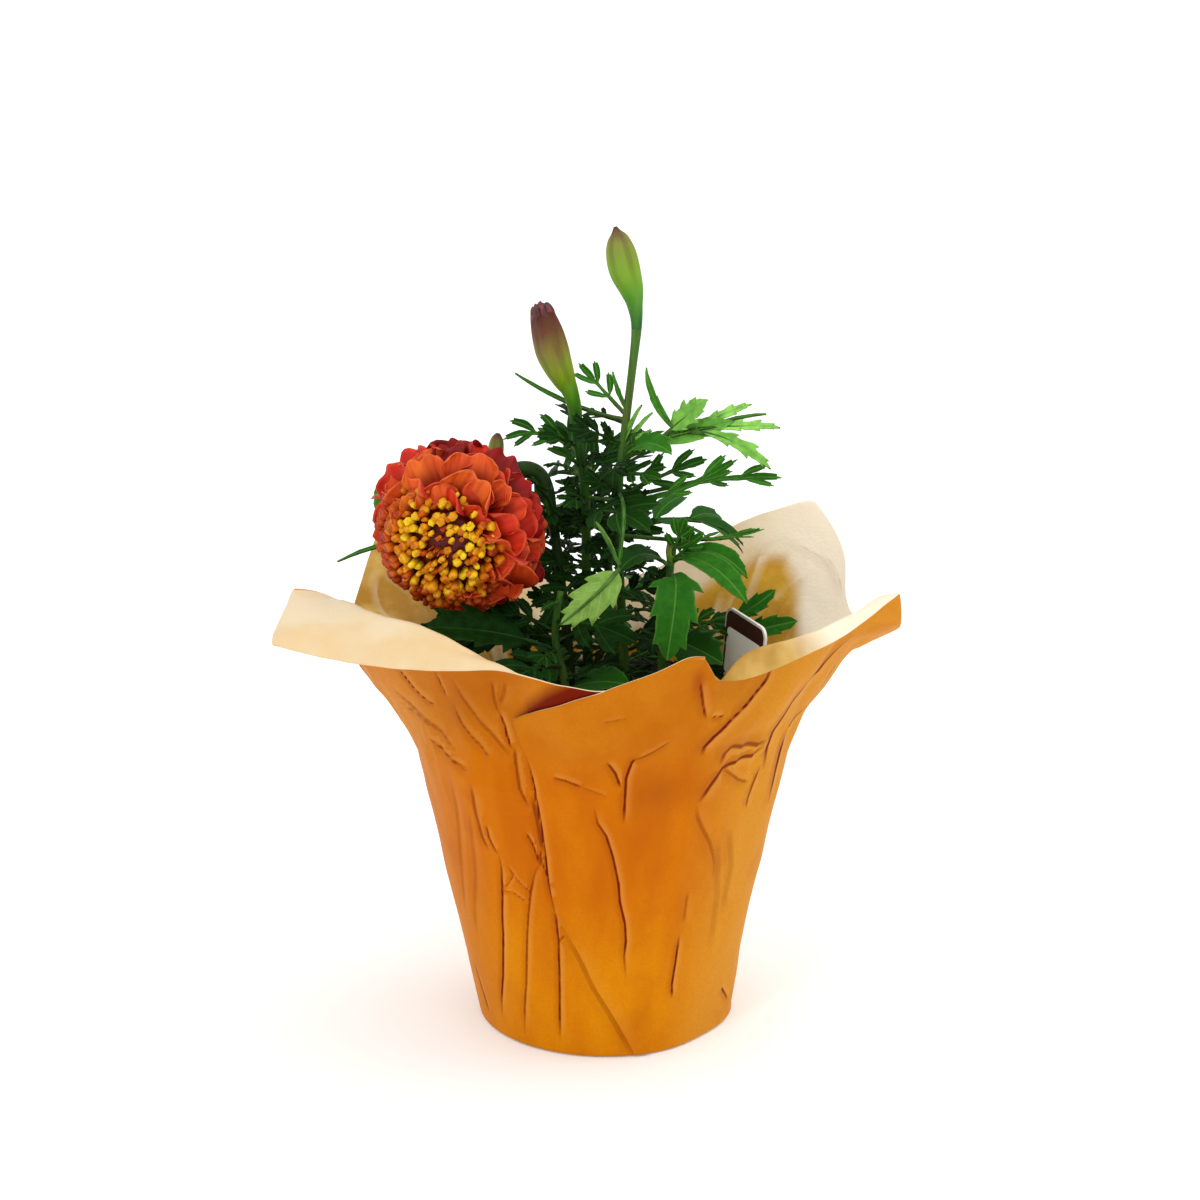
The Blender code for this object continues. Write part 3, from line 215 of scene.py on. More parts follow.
# Whole blades: the margin from stalk to tip, along and across it in percent of the leaf's length
BLADES = {
    "lancet": [(5, 1.2), (20, 3.6), (40, 5.4), (60, 6.4), (61, 5.2), (75, 5), (88, 3), (100, 0)],
    "lance": [
        (36, 1.2), (42, 4), (52, 6.8), (63, 8), (72, 7.6), (79, 8.4), (78.5, 5.4), (88, 3.8), (95, 1.6),
        (100, 0),
    ],
    "spear": [
        (20, 1.2), (28, 4), (40, 6.6), (54, 10), (52, 6.2), (63, 6.8), (77, 9.6), (75, 5.4), (84, 4.8),
        (93, 5), (91, 2.6), (100, 0),
    ],
    "thread": [(10, 1.2), (30, 1.8), (50, 2.4), (70, 2.6), (86, 1.8), (100, 0)],
    "cord": [(5, 0.8), (50, 1), (90, 1), (100, 0)],
    "wide": [
        (16, 1.2), (24, 5.5), (38, 9.8), (52, 12), (66, 12.4), (66.5, 11), (78, 10.4), (78.5, 9), (90, 6),
        (90.5, 4.6), (100, 0),
    ],
    "paddle": [(60, 1.2), (66, 5), (76, 8.6), (75, 6.4), (87, 8), (86, 5.4), (94, 4.8), (100, 0)],
    "heart": [
        (27, 1.2), (33, 5), (42, 8), (56, 17.2), (54.5, 11.8), (64, 11.8), (76, 16), (74, 10.8), (83, 10.4),
        (92, 10.4), (90.5, 6.6), (95, 4.6), (100, 0),
    ],
    "tongue": [
        (60, 1.2), (65, 5.5), (72, 8.2), (73, 7.8), (81, 8.8), (82, 8), (90, 6.8), (91, 5.8), (96, 3.6),
        (100, 0),
    ],
    "oval": [
        (10, 1.2), (20, 7.5), (30, 12.5), (40, 15.2), (41, 14.5), (53, 16.5), (54, 15.5), (66, 15.8),
        (67, 14.6), (78, 12.8), (79, 11.4), (89, 7.8), (100, 0),
    ],
    "broad": [
        (27, 1.2), (33, 7.5), (40, 12), (52, 20.5), (50, 14.5), (58, 15), (72, 20.5), (70, 13.5), (78, 14),
        (88, 14.5), (86, 9.2), (91, 7.5), (96, 4), (100, 0),
    ],
    "hanging": [
        (2, 3), (10, 15), (24, 22), (38, 27.5), (36, 20.5), (52, 20.5), (70, 23.5), (66.5, 14.5), (78, 12),
        (90, 13), (87, 7.5), (100, 0),
    ],
}
# Leaves as place on the stem, tip, kind, the way the upper face looks, the bend, and how young and
# light the green is, low values being painted shade in the heart of the plant. The place is a height,
# or the number of an earlier leaf of the same stem and how far along its midrib. The bend is the arch
# in degrees, or the point that draws the curve
TO_CAMERA = (0, -0.6, 0.8)
UPWARD = (0, -0.15, 1)
LEAVES = {
    "stem_right_bud": [
        (157.5, (30, -8, 168.8), "thread", UPWARD, (14, -6, 166), 0.8),
        ((0, 0.62), (10.4, -6, 183.8), "lancet", (-0.5, -0.8, 0.3), (12, -6, 173.5), 0.75),
        ((0, 0.42), (26.5, -8, 175.8), "broad", (-0.2, -0.8, 0.5), 15, 0.9),
        ((0, 0.68), (38.2, -6, 174.2), "spear", (-0.2, -0.7, 0.7), 10, 1),
        ((0, 0.75), (42.5, 1, 169.9), "thread", UPWARD, 15, 0.6),
        ((0, 0.82), (45.5, -12, 169.3), "spear", TO_CAMERA, 14, 0.95),
        ((0, 0.7), (42.8, -20, 160.2), "spear", (0.1, -0.6, 0.8), (32, -14, 169), 0.85),
        (156.5, (17, -17, 163.5), "broad", (0, -0.6, 0.8), (9, -9, 168), 0.6),
        (169.5, (-7.9, 10, 181.8), "wisp", TO_CAMERA, (1, 7, 173), 0.5),
        (170.5, (1.6, -1, 181.6), "lancet", (-0.5, -0.8, 0.3), 15, 0.6),
        (168.5, (-24.3, 14, 178), "thread", UPWARD, (-12, 8, 170), 0.5),
        (146, (46.8, -10, 155.2), "ribbon", TO_CAMERA, (26, -8, 155.5), 0.5),
        (147, (27, -4, 158.5), "wisp", TO_CAMERA, 20, 0.42),
        (148, (2.8, -42, 138.6), "cord", TO_CAMERA, (6, -40, 157), 0.45),
        ((13, 0.99), (-11.8, -46, 125.8), "hanging", (0.3, 0.9, -0.3), (-1, -46, 134.5), 0.74),
        ((13, 0.95), (-2.6, -38, 151), "lancet", (0.6, 0.8, -0.1), 12, 0.7),
        ((0, 0.28), (33.5, -9, 170.2), "wide", (-0.2, -0.8, 0.5), 12, 0.85),
        (136, (42.5, -2, 138.5), "ribbon", UPWARD, (30, -1, 134), 0.5),
        (153, (15, -12, 155), "short", TO_CAMERA, 35, 0.35),
        (161, (9.3, -2, 173), "lancet", (-0.6, -0.6, 0.3), 20, 0.9),
        (160, (12.2, 0, 170.5), "lancet", (-0.6, -0.6, 0.4), 20, 0.9),
        (158.5, (11.8, -6, 167), "lance", TO_CAMERA, 20, 0.85),
    ],
    "stem_left_bud": [
        (158, (-28.2, 10.3, 161.1), "wisp", (0, -0.65, 0.75), (-15, 12, 164.3), 0.4),
        (154, (-15.5, -2, 161), "lance", TO_CAMERA, 40, 0.35),
        (146, (34.5, -16, 163), "ribbon", TO_CAMERA, (17, -16, 147), 0.5),
        (140, (12, -24, 145), "short", TO_CAMERA, 45, 0.25),
        (124, (-17, -14, 116), "feather", (0, -0.6, 0.8), 40, 0.1),
        (152, (-18, 25, 145), "short", TO_CAMERA, 35, 0.2),
        (150, (6, 15, 161), "short", TO_CAMERA, 30, 0.2),
    ],
    "stem_bloom": [
        (106, (-51, -7, 110.5), "feather", (0, -0.5, 0.85), 25, 0.15),
        (128, (-30, -2, 122), "short", TO_CAMERA, 40, 0.1),
        (92, (-26, -8, 103), "short", TO_CAMERA, 40, 0.1),
        (134, (-20.5, -14, 156), "spear", (-0.3, -0.6, 0.7), (-14, -8, 152), 0),
    ],
    "stem_right": [
        (127.5, (15.5, -44, 115.5), "heart", (0, -1, 0.25), (20, -36, 141), 0.5),
        (132, (37, -24, 131.8), "wide", (0.1, -0.55, 0.8), (27, -17, 142), 0.48),
        (133, (36.5, -33, 127.5), "wide", (0.2, -0.6, 0.7), (27, -25, 140), 0.45),
        (131, (2.8, -32, 135), "wide", (0, -0.6, 0.8), (9, -22, 142), 0.24),
        (133, (21, -16, 146.5), "short", (0, -0.9, 0.4), 20, 0.5),
        (116, (45.2, -8, 123.8), "paddle", (-0.2, -0.8, 0.5), (32, -12, 112), 0.42),
        (108, (51, -11, 116), "paddle", (0, -0.8, 0.6), (34, -12, 112), 0.38),
        (132, (25.5, -16, 141.5), "short", (0, -0.8, 0.6), 20, 0.45),
        (110, (30, -40, 113.5), "broad", (0, -0.8, 0.6), 30, 0.25),
    ],
    "stem_front": [
        (99, (6, -44, 109), "oval", (0, -0.6, 0.8), 30, 0.42),
        (110, (-47, -35, 121.5), "broad", (0, -0.5, 0.85), 30, 0.05),
        (106, (-26, -46, 110), "short", (0, -0.6, 0.8), 30, 0.1),
        (118, (8, -36, 118), "short", (0, -0.7, 0.7), 45, 0.15),
        (123, (-17, -28, 124), "spear", (0, -0.7, 0.7), 30, 0.3),
    ],
    "stem_back": [
        (142, (8, 34, 154), "short", TO_CAMERA, 45, 0.25),
        (146, (-16, 34, 160), "short", TO_CAMERA, 40, 0.25),
        (130, (40, 34, 126), "short", UPWARD, 55, 0.4),
        (124, (-22, 46, 130), "short", UPWARD, 55, 0.4),
        (106, (12, 54, 108), "short", UPWARD, 55, 0.4),
        (134, (-20, 14, 134), "short", TO_CAMERA, 40, 0.1),
        (130, (16, 13, 134), "short", TO_CAMERA, 30, 0.15),
        (96, (26, 10, 106), "short", TO_CAMERA, 40, 0.15),
    ],
    "stem_left": [
        (136, (-61.8, 12, 147.5), "tongue", (-0.3, -0.9, 0.2), (-54, 12, 122), 0.72),
        (130, (-73, 8, 127), "thread", UPWARD, 40, 0.5),
        (118, (-58, 34, 126), "short", UPWARD, 50, 0.4),
        (138, (-36, 44, 146), "short", UPWARD, 50, 0.4),
    ],
}
# The point of each line where its bud or cup begins
BUD_STARTS = {"stem_right_bud": 7, "stem_left_bud": 5, "stem_bloom": 9, "stem_right": 4, "stem_left": 5}
STEM_STEPS = 5
LEAF_ROOT = 0.6
LEAF_FOLD = 0.28
# Smaller leaves that fill the heart of the plant, dark with painted shade: from and to what height
# on each stem, how many, and their reach
FILLERS = {
    "stem_right_bud": (90, 168, 28, 17), "stem_left_bud": (90, 166, 28, 16),
    "stem_bloom": (86, 148, 17, 17), "stem_right": (82, 128, 12, 18), "stem_front": (82, 118, 10, 17),
    "stem_back": (82, 148, 30, 19), "stem_left": (82, 128, 10, 20),
}

# The open bloom: the middle of its receptacle and the way its disc faces
BLOOM_SEAT = Vector((-39.2, -10.5, 141.4))
BLOOM_AXIS = Vector((-0.48, -0.80, -0.35)).normalized()
RECEPTACLE_RADIUS = 6.6
# Rings of ray petals as count, arc that they fill, degrees from the axis, length and width
PETAL_RINGS = [
    (6, 200, 68, 23.0, 13.5),
    (9, 330, 83, 24.2, 15.0),
    (7, 250, 100, 24.2, 15.0),
    (5, 170, 117, 23.5, 14.5),
]
CORE_RADIUS = 17.0
FLORET_REACH = 21.5
# The darker middle of the disc, where the florets part and lean away from
HOLLOW = Vector((-0.2, -0.977, -0.015)).normalized()
FLORET_COUNT = 380
FLORET_SPREAD = 64
# The ball of the bloom as it is seen from the front, and the petals that show there: how far right
# and up of its middle the tip and the root are, the ball they reach, width, and how orange
BLOOM_BALL = BLOOM_SEAT + Vector((1.0, 0.0, 0.8))
VIEW_RIGHT = Vector((1, 0, 0))
VIEW_UP = Vector((0, 0.2924, 0.9563))
VIEW_OUT = Vector((0, -0.9563, 0.2924))
FRONT_PETALS = [
    (-4, 22.3, -1, 11, 23, 9, 0.06), (2.4, 22.6, 2.6, 14, 23, 9, 0.05), (12.6, 19, 6, 7.5, 23.2, 11, 0.04),
    (-10.5, 19.6, -6, 11, 23, 10.5, 0.62), (-18, 13.6, -9.5, 6.5, 23, 9, 0.55),
    (-20.6, 6.6, -12, 4.5, 22.6, 7.5, 0.5), (17.6, 12.2, 9, 5, 22.8, 8, 0.12), (20.8, 6, 12, 2, 23, 9, 0.2),
    (22, 0.5, 13, -0.5, 23, 9, 0.15), (21.3, -6.5, 12, -4, 22.8, 8, 0.3),
    (-10.6, 17.2, -4.2, 3, 23.6, 12.6, 0.74), (3.4, 18.8, 1.6, 3.5, 24, 14.6, 0.62),
    (13, 10.2, 4.5, 3, 22.8, 7, 0.6), (17.5, 5.8, 5.5, 1, 23.4, 7.8, 0.42), (6.5, 11, 2, 0, 22.6, 8.5, 0.5),
    (-4.8, 10.6, -1, 0.5, 22.6, 7.5, 0.66), (-9.8, 8.6, -5, 1.5, 22.2, 6.5, 0.72),
    (-14.2, 7.6, -9, 1.5, 22.2, 6, 0.82), (-17.6, 6, -11, 1, 22, 6.2, 0.85), (16, 0, 7, 0, 22.6, 5.5, 0.3),
    (10.4, -3.6, 4.5, -0.6, 22.6, 6.5, 0.55), (18.4, -6.4, 7.5, -6.5, 22.6, 6.5, 0.52),
    (15.6, -10, 12.4, -17, 23.4, 10, 0.5), (21.4, -10.4, 14.5, -13.5, 22.8, 6, 0.08),
    (9.4, -12.8, 3.2, -13, 22.4, 3.6, 0.55), (7.6, -22, 5, -15.5, 22.8, 5, 0.75),
    (4.8, -18.8, 3.2, -13.5, 22.4, 3.2, 0.5), (2, -19, 1.6, -14, 22.2, 2.8, 0.45),
    (-1.5, -22, -1, -14, 22.4, 6, 0.5), (-6.5, -21, -4.5, -14, 22.2, 6.5, 0.55),
    (12.5, -20, 8, -13, 22.4, 8, 0.1), (17.5, -15.5, 10, -10.5, 22, 8, 0.08),
    (3.5, 21, 2, 12, 21.4, 10, 0.3),
]


# The half width of a petal at shares of its length, as a share of its width
PETAL_FORM = [(0, 0.10), (0.25, 0.22), (0.5, 0.40), (0.75, 0.51), (0.92, 0.49), (1, 0.42)]
# The radius of a floret at shares of its length, as a share of its size
FLORET_FORM = [
    (0, 0.34), (0.35, 0.42), (0.5, 0.62), (0.64, 0.84), (0.78, 1), (0.9, 0.98), (0.98, 0.66), (1, 0.3),
]
# The camera, in metres and degrees, and its lens in mm
CAMERA_PLACE = (-0.0016, -0.80, 0.363)
CAMERA_PITCH = 73
CAMERA_LENS = 93


def clamp(value):
    return min(1.0, max(0.0, value))


# Materials

def rgb(red, green, blue):
    """A display colour from 0 to 255 as linear light."""
    shares = [c / 255 for c in (red, green, blue)]
    return (*(c / 12.92 if c < 0.04 else ((c + 0.055) / 1.055) ** 2.4 for c in shares), 1)


class Output:
    """The output of a shader node. Arithmetic on it adds the nodes that do the sum."""

    def __init__(self, surface, socket):
        self.surface, self.socket = surface, socket

    def __add__(self, other):
        return self.surface.maths("ADD", self, other)

    def __sub__(self, other):
        return self.surface.maths("SUBTRACT", self, other)

    def __mul__(self, other):
        return self.surface.maths("MULTIPLY", self, other)

    def __truediv__(self, other):
        return self.surface.maths("DIVIDE", self, other)


class Surface:
    """A Principled material with short calls for the nodes that feed it. Colours are 0 to 255."""

    def __init__(self, name, **sockets):
        self.material = bpy.data.materials.new(name)
        self.material.use_nodes = True
        self.tree = self.material.node_tree
        self.shader = self.tree.nodes["Principled BSDF"].inputs
        for socket, value in sockets.items():
            self.shader[socket.replace("_", " ")].default_value = value

    def feed(self, socket, value):
        if isinstance(value, Output):
            self.tree.links.new(value.socket, socket)
        else:
            socket.default_value = value

    def node(self, kind, inputs, output=0, **settings):
        made = self.tree.nodes.new("ShaderNode" + kind)
        for key, value in settings.items():
            setattr(made, key, value)
        for key, value in inputs.items():
            self.feed(made.inputs[key], value)
        return Output(self, made.outputs[output])

    def value(self, name):
        return self.node("Attribute", {}, "Fac", attribute_name=name)

    def place(self):
        return self.node("TexCoord", {}, "Object")

    def axis(self, letter):
        return self.node("SeparateXYZ", {0: self.place()}, letter)

    def noise(self, scale, detail=2, stretch=(1, 1, 1)):
        at = self.node("Mapping", {"Vector": self.place(), "Scale": stretch})
        return self.node("TexNoise", {"Vector": at, "Scale": scale, "Detail": detail})

    def maths(self, operation, a, b=0.0):
        return self.node("Math", {0: a, 1: b}, operation=operation)

    def span(self, value, low, high, to_low=0.0, to_high=1.0):
        inputs = {"Value": value, 1: low, 2: high, 3: to_low, 4: to_high}
        return self.node("MapRange", inputs, interpolation_type="SMOOTHSTEP")

    def ramp(self, value, *stops):
        """Colours along a value, from stops of place, red, green and blue."""
        made = self.tree.nodes.new("ShaderNodeValToRGB")
        self.feed(made.inputs[0], value)
        elements = made.color_ramp.elements
        while len(elements) < len(stops):
            elements.new(0.5)
        for element, (at, *colour) in zip(elements, stops):
            element.position, element.color = at, rgb(*colour)
        return Output(self, made.outputs[0])

    def mix(self, share, *colours):
        first, second = (c if isinstance(c, Output) else rgb(*c) for c in colours)
        return self.node("Mix", {0: share, 6: first, 7: second}, 2, data_type="RGBA")

    def coats(self, colour, *coats):
        """The colour below several coats, each given as how much it covers and its own colour."""
        for share, coat in coats:
            colour = self.mix(share, colour, coat)
        return colour

    def finish(self, colour, height, distance=0.0002, strength=1.0):
        self.feed(self.shader["Base Color"], colour)
        inputs = {"Strength": strength, "Distance": distance, "Height": height}
        self.feed(self.shader["Normal"], self.node("Bump", inputs))
        return self.material


def crease_marks(s):
    """The painted shade of the nearest crease as a dark line, with a soft painted shadow on one side and
    painted light on the other.
    """
    fold, gap, girth, crease = (s.value(n) for n in ("fold", "gap", "girth", "crease"))
    half = s.maths("MAXIMUM", girth, 0.2)
    off = (gap + (s.noise(420, 3) - 0.5) * 0.3) / half
    line, near = s.span(off, 0.3, 0.95, 1, 0) * crease, s.span(off, 0.8, 5, 1, 0) * crease
    side = fold / half
    return line, s.span(side, -0.6, 0.6) * near, s.span(side, -0.4, -1.4) * near


def paper_bump(s, line):
    """Fine grain, faint vertical ripples and the groove of each crease, as one height."""
    return s.noise(900, 3) + s.noise(150, 3) * 1.6 + s.noise(70, 3, (1, 1, 0.3)) * 3 - line * 1.6


def paper_outside():
    s = Surface("orange_paper", Roughness=0.55, Specular_IOR_Level=0.04)
    streak = s.span(s.noise(90, 3, (1, 1, 0.22)), 0.3, 0.7)
    # The orange darkens from the foot to the waist and again above the neck: painted shade on the waist and
    # the flare
    level = s.axis("Z") + s.noise(34, 3) * 0.016
    foot = s.mix(streak, (204, 118, 0), (216, 134, 0))
    waist = s.mix(streak, (192, 98, 0), (204, 112, 0))
    low = s.mix(s.span(level, 0.03, 0.066), foot, waist)
    high = s.mix(s.span(s.noise(60, 3), 0.3, 0.7), (186, 102, 2), (196, 116, 14))
    line, shadow, light = crease_marks(s)
    colour = s.coats(
        s.mix(s.span(level, 0.088, 0.108), low, high),
        # Painted sheen on the flanks
        (s.value("flank"), s.mix(s.span(s.axis("X"), -0.02, 0.02), (208, 134, 50), (212, 142, 36))),
        (s.span(s.noise(1500), 0.3, 0.7, 0, 0.2), (178, 88, 10)),
        (s.span(s.noise(75, 4), 0.5, 0.72, 0, 0.22), (176, 84, 6)),
        # Painted light and painted shadow beside the creases, painted shade on the neck patch and dimple, the
        # painted shadow of the panel's top edge (deep), and painted shade in the dark crease lines
        (light * 0.3, (230, 164, 84)), (shadow * 0.36, (150, 58, 0)),
        (s.value("shade"), (164, 78, 12)), (s.value("deep"), (112, 22, 0)), (line, (104, 12, 0)),
    )
    return s.finish(colour, paper_bump(s, line), 0.00016, 0.7)


def paper_inside():
    s = Surface("pale_paper_lining", Roughness=0.4, Specular_IOR_Level=0.12)
    depth, x = s.value("depth"), s.axis("X")
    blotch, cloud = s.noise(45, 3), s.noise(85, 3, (1, 1, 0.5))
    near = depth + blotch * 6
    cream = s.mix(s.span(blotch, 0.35, 0.65), (224, 204, 168), (220, 190, 142))
    cream = s.mix(s.span(x, 0.035, 0.06, 0, 0.8), cream, (248, 234, 210))
    gold = s.mix(s.span(cloud, 0.3, 0.7), (206, 158, 40), (188, 130, 24))
    tan = s.mix(s.span(cloud, 0.35, 0.62), (164, 116, 26), (202, 162, 84))
    left = s.span(x, -0.085, -0.05, 0, 0.5) * s.span(x, -0.02, 0, 1, 0)
    line, shadow, light = crease_marks(s)
    # Cream near the rim, then gold and dark brown further down: painted shade inside the cover. The tan
    # patches are painted shade, and the crease marks are painted shade and painted light
    colour = s.coats(
        s.mix(s.span(near, 14, 20), cream, gold),
        (left * s.span(near, 3, 8) * s.span(near, 9, 14, 1, 0), (222, 184, 112)),
        (s.value("tan"), tan), (s.span(depth, 27, 42), (158, 88, 16)),
        (shadow * 0.35, (176, 122, 52)), (light * 0.6, (248, 238, 216)), (line * 0.4, (160, 100, 40)),
    )
    return s.finish(colour, paper_bump(s, line), 0.00018, 0.7)


def black_plastic():
    s = Surface("black_plastic", Roughness=0.42)
    dust = s.span(s.noise(260, 4), 0.5, 0.75, 0, 0.5)
    return s.finish(s.mix(dust, (24, 24, 25), (58, 50, 44)), s.noise(1400), 0.00005, 0.4)


def soil_surface():
    s = Surface("potting_soil", Roughness=0.92, Specular_IOR_Level=0.2)
    crumbs = s.node("TexVoronoi", {"Vector": s.place(), "Scale": 620}, "Distance")
    tone = s.noise(300, 4)
    colour = s.ramp(tone, (0.3, 30, 20, 14), (0.5, 58, 40, 28), (0.72, 96, 70, 48))
    return s.finish(colour, tone * 1.5 + crumbs, 0.0008)


def perlite():
    s = Surface("perlite", Roughness=0.8)
    return s.finish(s.ramp(s.noise(700, 3), (0.3, 206, 200, 188), (0.7, 238, 235, 226)), s.noise(1500, 3))


def bark():
    s = Surface("bark_chip", Roughness=0.85)
    tone = s.noise(500, 4, (1, 1, 3))
    return s.finish(s.ramp(tone, (0.3, 52, 32, 20), (0.7, 120, 84, 54)), tone, 0.0004)


def tag_plastic(name, colour, second):
    s = Surface(name, Roughness=0.35)
    return s.finish(s.mix(s.span(s.noise(240, 3), 0.35, 0.65), colour, second), s.noise(2000), 0.00003)


def leaf_green(name, under):
    """Leaf skin: painted shade makes it dark in the heart of the plant; lighter when young, and paler below
    with veins.
    """
    s = Surface(name, Roughness=0.6 if under else 0.5, Specular_IOR_Level=0.035)
    tone, along, across, edge = (s.value(n) for n in ("tone", "along", "across", "edge"))
    # Low tones are near black: painted shade for leaves in the heart of the plant
    if under:
        skin = s.ramp(tone, (0, 14, 36, 12), (0.35, 54, 84, 30), (0.7, 108, 146, 52), (1, 146, 182, 98))
    else:
        skin = s.ramp(
            tone, (0, 8, 24, 2), (0.25, 24, 60, 8), (0.5, 40, 102, 18), (0.75, 78, 152, 44),
            (1, 150, 214, 96),
        )
    side = s.maths("ABSOLUTE", across)
    wave = s.maths("PINGPONG", along - side * 0.8, 1.6)
    vein = s.span(wave, 0, 0.5, 1, 0) * (0.4 if under else 0.12) * s.span(s.noise(330, 3), 0.35, 0.65)
    rib = s.span(side, 0.08, 0.34, 1, 0)
    lines = s.maths("MAXIMUM", vein, rib) * s.span(tone, 0, 0.7, 0.1, 1)
    colour = s.coats(
        skin, (s.span(s.noise(420, 3), 0.3, 0.7, 0, 0.4), (66, 100, 32) if under else (20, 66, 20)),
        (lines * (0.6 if under else 0.4), (186, 206, 140) if under else (120, 170, 74)),
        (s.span(edge, 0.86, 1, 0, 0.35) * tone, (150, 190, 100)),
    )
    return s.finish(colour, lines * (1 if under else -1.2) + s.noise(900), 0.00016, 0.7)


def stem_green():
    s = Surface("stem_green", Roughness=0.5, Specular_IOR_Level=0.15)
    streak = s.noise(260, 3, (1, 1, 0.12))
    colour = s.coats(
        s.ramp(streak, (0.3, 30, 70, 20), (0.55, 66, 106, 36), (0.8, 104, 130, 60)),
        (s.span(s.noise(50), 0.55, 0.75, 0, 0.3), (86, 52, 32)),
        # Low tones darken the stem: painted shade in the heart of the plant
        (s.span(s.value("tone"), 0, 0.3, 0.7, 0), (8, 30, 8)),
    )
    return s.finish(colour, streak)


def bud_skin(name, *stops):
    """Skin of a bud, from its stalk (0) to its mouth or tip (1), with painted shade in its grooves."""
    s = Surface(name, Roughness=0.45, Specular_IOR_Level=0.15)
    streak = s.noise(420, 3, (1, 1, 0.12))
    level = s.value("along") + (streak - 0.5) * 0.3
    # Painted shade in the grooves between the ribs
    groove = s.span(s.value("across"), 0, 0.6, 1, 0) * s.span(level, 0.2, 0.5)
    return s.finish(s.mix(groove * 0.35, s.ramp(level, *stops), (84, 62, 34)), streak)


def petal_skin(name, back):
    s = Surface(name, Specular_IOR_Level=0.15)
    along, across, edge, tone = (s.value(n) for n in ("along", "across", "edge", "tone"))
    at = s.node("CombineXYZ", {"X": across * 0.55, "Y": along * 1.1, "Z": tone * 37})
    vein = s.span(s.node("TexNoise", {"Vector": at, "Scale": 1, "Detail": 4}), 0.35, 0.68, 0, 0.6)
    if back:
        body = s.mix(s.span(tone, 0.2, 0.8), (176, 30, 40), (196, 66, 34))
    else:
        body = s.ramp(
            tone, (0, 96, 2, 4), (0.14, 140, 10, 14), (0.3, 212, 48, 26), (0.6, 224, 88, 30),
            (0.85, 226, 116, 28), (1, 222, 138, 18),
        )
    # Dark red towards the root: painted shade where the petals overlap
    deep = s.mix(s.span(along, 0.3, 0.85), (120, 8, 0), s.mix(vein, body, (172, 22, 12)))
    rim = s.span(edge, 0.94, 1) * s.span(tone, 0.1, 0.6, 0.05, 0.4)
    s.feed(s.shader["Roughness"], s.span(s.noise(110), 0.56, 0.7, 0.5, 0.12))
    return s.finish(s.mix(rim, deep, (232, 124, 70)), s.noise(500, 3), 0.00014, 0.6)


def floret_skin():
    s = Surface("disc_floret", Roughness=0.35, Specular_IOR_Level=0.25)
    along, tone = s.value("along"), s.value("tone")
    tip = s.ramp(tone, (0, 164, 36, 4), (0.3, 206, 84, 4), (0.6, 230, 146, 6), (1, 252, 216, 30))
    tip = s.mix(s.span(s.noise(480, 3), 0.45, 0.7, 0, 0.6), tip, (188, 70, 4))
    # Dark red-brown towards the foot and in a ring at the closed tip: painted shade between the florets and
    # at the tip
    deep = s.mix(s.span(along, 0.45, 0.92), (96, 8, 0), tip)
    mouth = s.span(along, 0.94, 1) * s.span(tone, 0.2, 0.9, 0.9, 0.2)
    return s.finish(s.mix(mouth, deep, (140, 30, 4)), s.noise(700), 0.0001)


def bud_petal_skin():
    s = Surface("bud_petal_tips", Roughness=0.5)
    streak = s.noise(600, 3, (1, 1, 0.3))
    return s.finish(s.ramp(streak, (0.3, 48, 14, 20), (0.55, 104, 40, 38), (0.8, 146, 78, 62)), streak)


def floor_white():
    s = Surface(
        "studio_floor", Roughness=0.9, Specular_IOR_Level=0.05, Emission_Strength=0.12,
        Emission_Color=(0.72, 1, 0.92, 1),
    )
    s.feed(s.shader["Base Color"], s.mix(s.span(s.noise(6), 0.3, 0.7), (247, 247, 247), (249, 249, 249)))
    return s.material


# Meshes

class Build:
    """Points in millimetres, faces, and a few named values for each point, for one piece."""

    NAMES = (
        "along", "across", "tone", "edge", "crease", "fold", "gap", "girth", "depth", "shade", "deep",
        "flank", "tan",
    )

    def __init__(self):
        self.points, self.faces, self.slots = [], [], []
        self.values = {name: [] for name in self.NAMES}

    def add(self, points, faces, slot=0, **values):
        start = len(self.points)
        self.points.extend(tuple(p) for p in points)
        self.faces.extend(tuple(start + i for i in face) for face in faces)
        self.slots.extend([slot] * len(faces))
        for name in self.NAMES:
            given = values.get(name, 0.0)
            if isinstance(given, (int, float)):
                given = [given] * len(points)
            self.values[name].extend(given)

    def make(self, name, materials, finish, *nodes):
        """The piece as an object on the root body. It stands for the given nodes."""
        mesh = bpy.data.meshes.new(name)
        mesh.from_pydata((np.array(self.points) * MM).tolist(), [], self.faces)
        for value, numbers in self.values.items():
            if any(numbers):
                mesh.attributes.new(value, "FLOAT", "POINT").data.foreach_set("value", numbers)
        mesh.polygons.foreach_set("material_index", self.slots)
        mesh.shade_smooth()
        obj = bpy.data.objects.new(name, mesh)
        bpy.context.scene.collection.objects.link(obj)
        for material in materials:
            mesh.materials.append(material)
        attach(obj, "root")
        if nodes:
            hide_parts(*nodes)
        return obj


def thicken(obj, thickness, offset, back=0, rim=0):
    shell = obj.modifiers.new("Thickness", "SOLIDIFY")
    shell.thickness = thickness * MM
    shell.offset = offset
    shell.material_offset = back
    shell.material_offset_rim = rim
    return obj


def grid_faces(rows, columns, closed=False):
    """Faces of a grid whose points run along a row first; closed joins the last column to the first."""
    faces = []
    for row in range(rows - 1):
        for column in range(columns if closed else columns - 1):
            beyond = (column + 1) % columns
            low, high = row * columns, (row + 1) * columns
            faces.append((low + column, low + beyond, high + beyond, high + column))
    return faces


def on_azimuth(degrees, radius, height):
    turn = math.radians(degrees)
    return Vector((radius * math.sin(turn), -radius * math.cos(turn), height))


